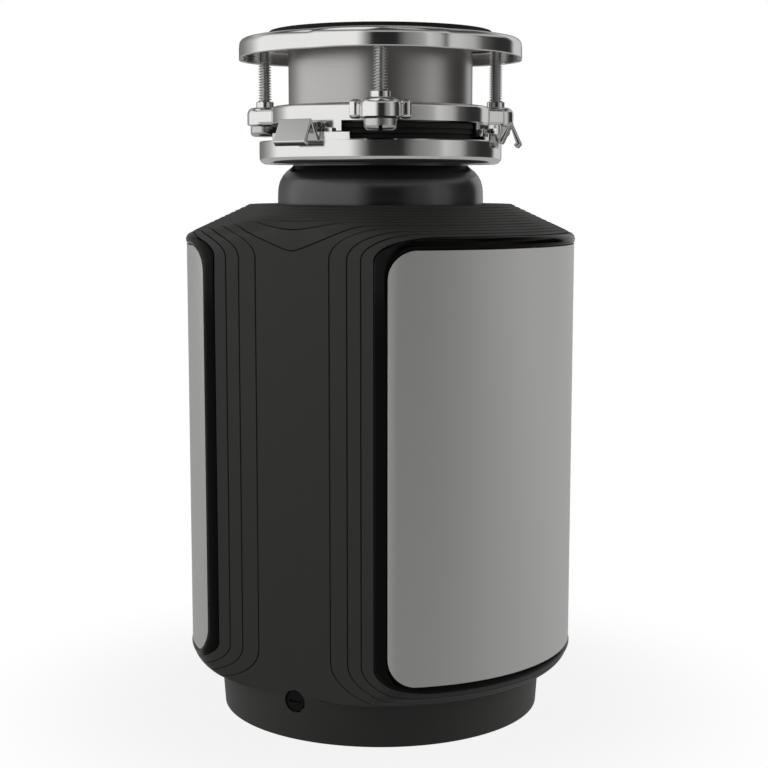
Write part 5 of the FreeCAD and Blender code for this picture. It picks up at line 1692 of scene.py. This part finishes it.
    def _world(self) -> None:
        """White for the camera; shiny surfaces see soft light and dark screens all round."""
        world = bpy.data.worlds.new("surroundings")
        bpy.context.scene.world = world
        world.use_nodes = True
        nodes = Nodes(world.node_tree)
        background = world.node_tree.nodes["Background"]
        path = nodes.add("ShaderNodeLightPath")
        lit = nodes.add("ShaderNodeMix", data_type="RGBA")
        nodes.join(path.outputs["Is Glossy Ray"], lit.inputs[0])
        nodes.join(self._fill_light(nodes), lit.inputs[6])
        nodes.join(self._screens(nodes), lit.inputs[7])
        clear = nodes.math("MAXIMUM", path.outputs["Is Camera Ray"], path.outputs["Is Transmission Ray"])
        seen = nodes.add("ShaderNodeMix", data_type="RGBA")
        nodes.join(clear, seen.inputs[0])
        nodes.join(lit.outputs[2], seen.inputs[6])
        seen.inputs[7].default_value = (1.0, 1.0, 1.0, 1.0)
        nodes.join(seen.outputs[2], background.inputs["Color"])
        background.inputs["Strength"].default_value = 1.0

    def _screens(self, nodes: Nodes) -> bpy.types.NodeSocket:
        """Brightness of the surroundings by direction, from behind over the left to behind again.

        Args:
            nodes: helper of the world's tree.

        Returns:
            A colour socket.
        """
        azimuth = math.radians(self.camera_azimuth)
        to_right = (math.cos(azimuth), math.sin(azimuth), 0.0)
        to_camera = (math.sin(azimuth), -math.cos(azimuth), 0.0)
        place = nodes.add("ShaderNodeTexCoord").outputs["Generated"]
        shares = []
        for direction in (to_right, to_camera):
            dot = nodes.add("ShaderNodeVectorMath", operation="DOT_PRODUCT")
            dot.inputs[1].default_value = direction
            nodes.join(place, dot.inputs[0])
            shares.append(dot.outputs["Value"])
        turn = nodes.math("ARCTAN2", *shares)
        ramp = nodes.add("ShaderNodeValToRGB")
        nodes.join(nodes.math("MULTIPLY_ADD", turn, 0.5 / math.pi, 0.5), ramp.inputs["Fac"])
        stops = ramp.color_ramp.elements
        for index, (degrees, level) in enumerate(self.screens):
            position = (degrees + 180.0) / 360.0
            stop = stops[index] if index < 2 else stops.new(position)
            stop.position = position
            stop.color = (level, level, level, 1.0)
        height = self._height(nodes)
        walls = nodes.change(height, self.screen_fade, (1.0, self.screen_top))
        ceiling = nodes.change(height, self.ceiling_fade, (0.0, 1.0))
        dimmed = nodes.add("ShaderNodeVectorMath", operation="SCALE")
        nodes.join(ramp.outputs["Color"], dimmed.inputs[0])
        nodes.join(nodes.math("MAXIMUM", walls, ceiling), dimmed.inputs["Scale"])
        belt = nodes.change(height, self.belt_fade, (0.0, self.belt_level))
        brighter = nodes.add("ShaderNodeVectorMath", operation="MAXIMUM")
        nodes.join(dimmed.outputs["Vector"], brighter.inputs[0])
        nodes.join(nodes.math("MULTIPLY", belt, walls), brighter.inputs[1])
        return brighter.outputs["Vector"]

    def _fill_light(self, nodes: Nodes) -> bpy.types.NodeSocket:
        """Even fill light from the sides that is dimmer from above.

        Args:
            nodes: helper of the world's tree.

        Returns:
            A brightness socket.
        """
        fill = (self.fill, self.fill_above * self.fill)
        return nodes.change(self._height(nodes), self.fill_fade, fill, "LINEAR")

    def _height(self, nodes: Nodes) -> bpy.types.NodeSocket:
        """How far up a direction points, from -1 to 1."""
        place = nodes.add("ShaderNodeTexCoord")
        parts = nodes.add("ShaderNodeSeparateXYZ")
        nodes.join(place.outputs["Generated"], parts.inputs[0])
        return parts.outputs["Z"]


def dress_cad_nodes() -> None:
    """Give every CAD node that stays in view its finish."""
    for name, finish in CAD_FINISHES.items():
        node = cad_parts[name]
        node.data.materials.clear()
        node.data.materials.append(finish.material())
        LOG.info("%s: %s", name, finish.name)


def main() -> None:
    """Build the object and its studio."""
    Shell().build()
    Container().build()
    Mount().build()
    Plumbing().build()
    Bottom().build()
    dress_cad_nodes()
    Studio().build()


if __name__ == "__main__":
    main()
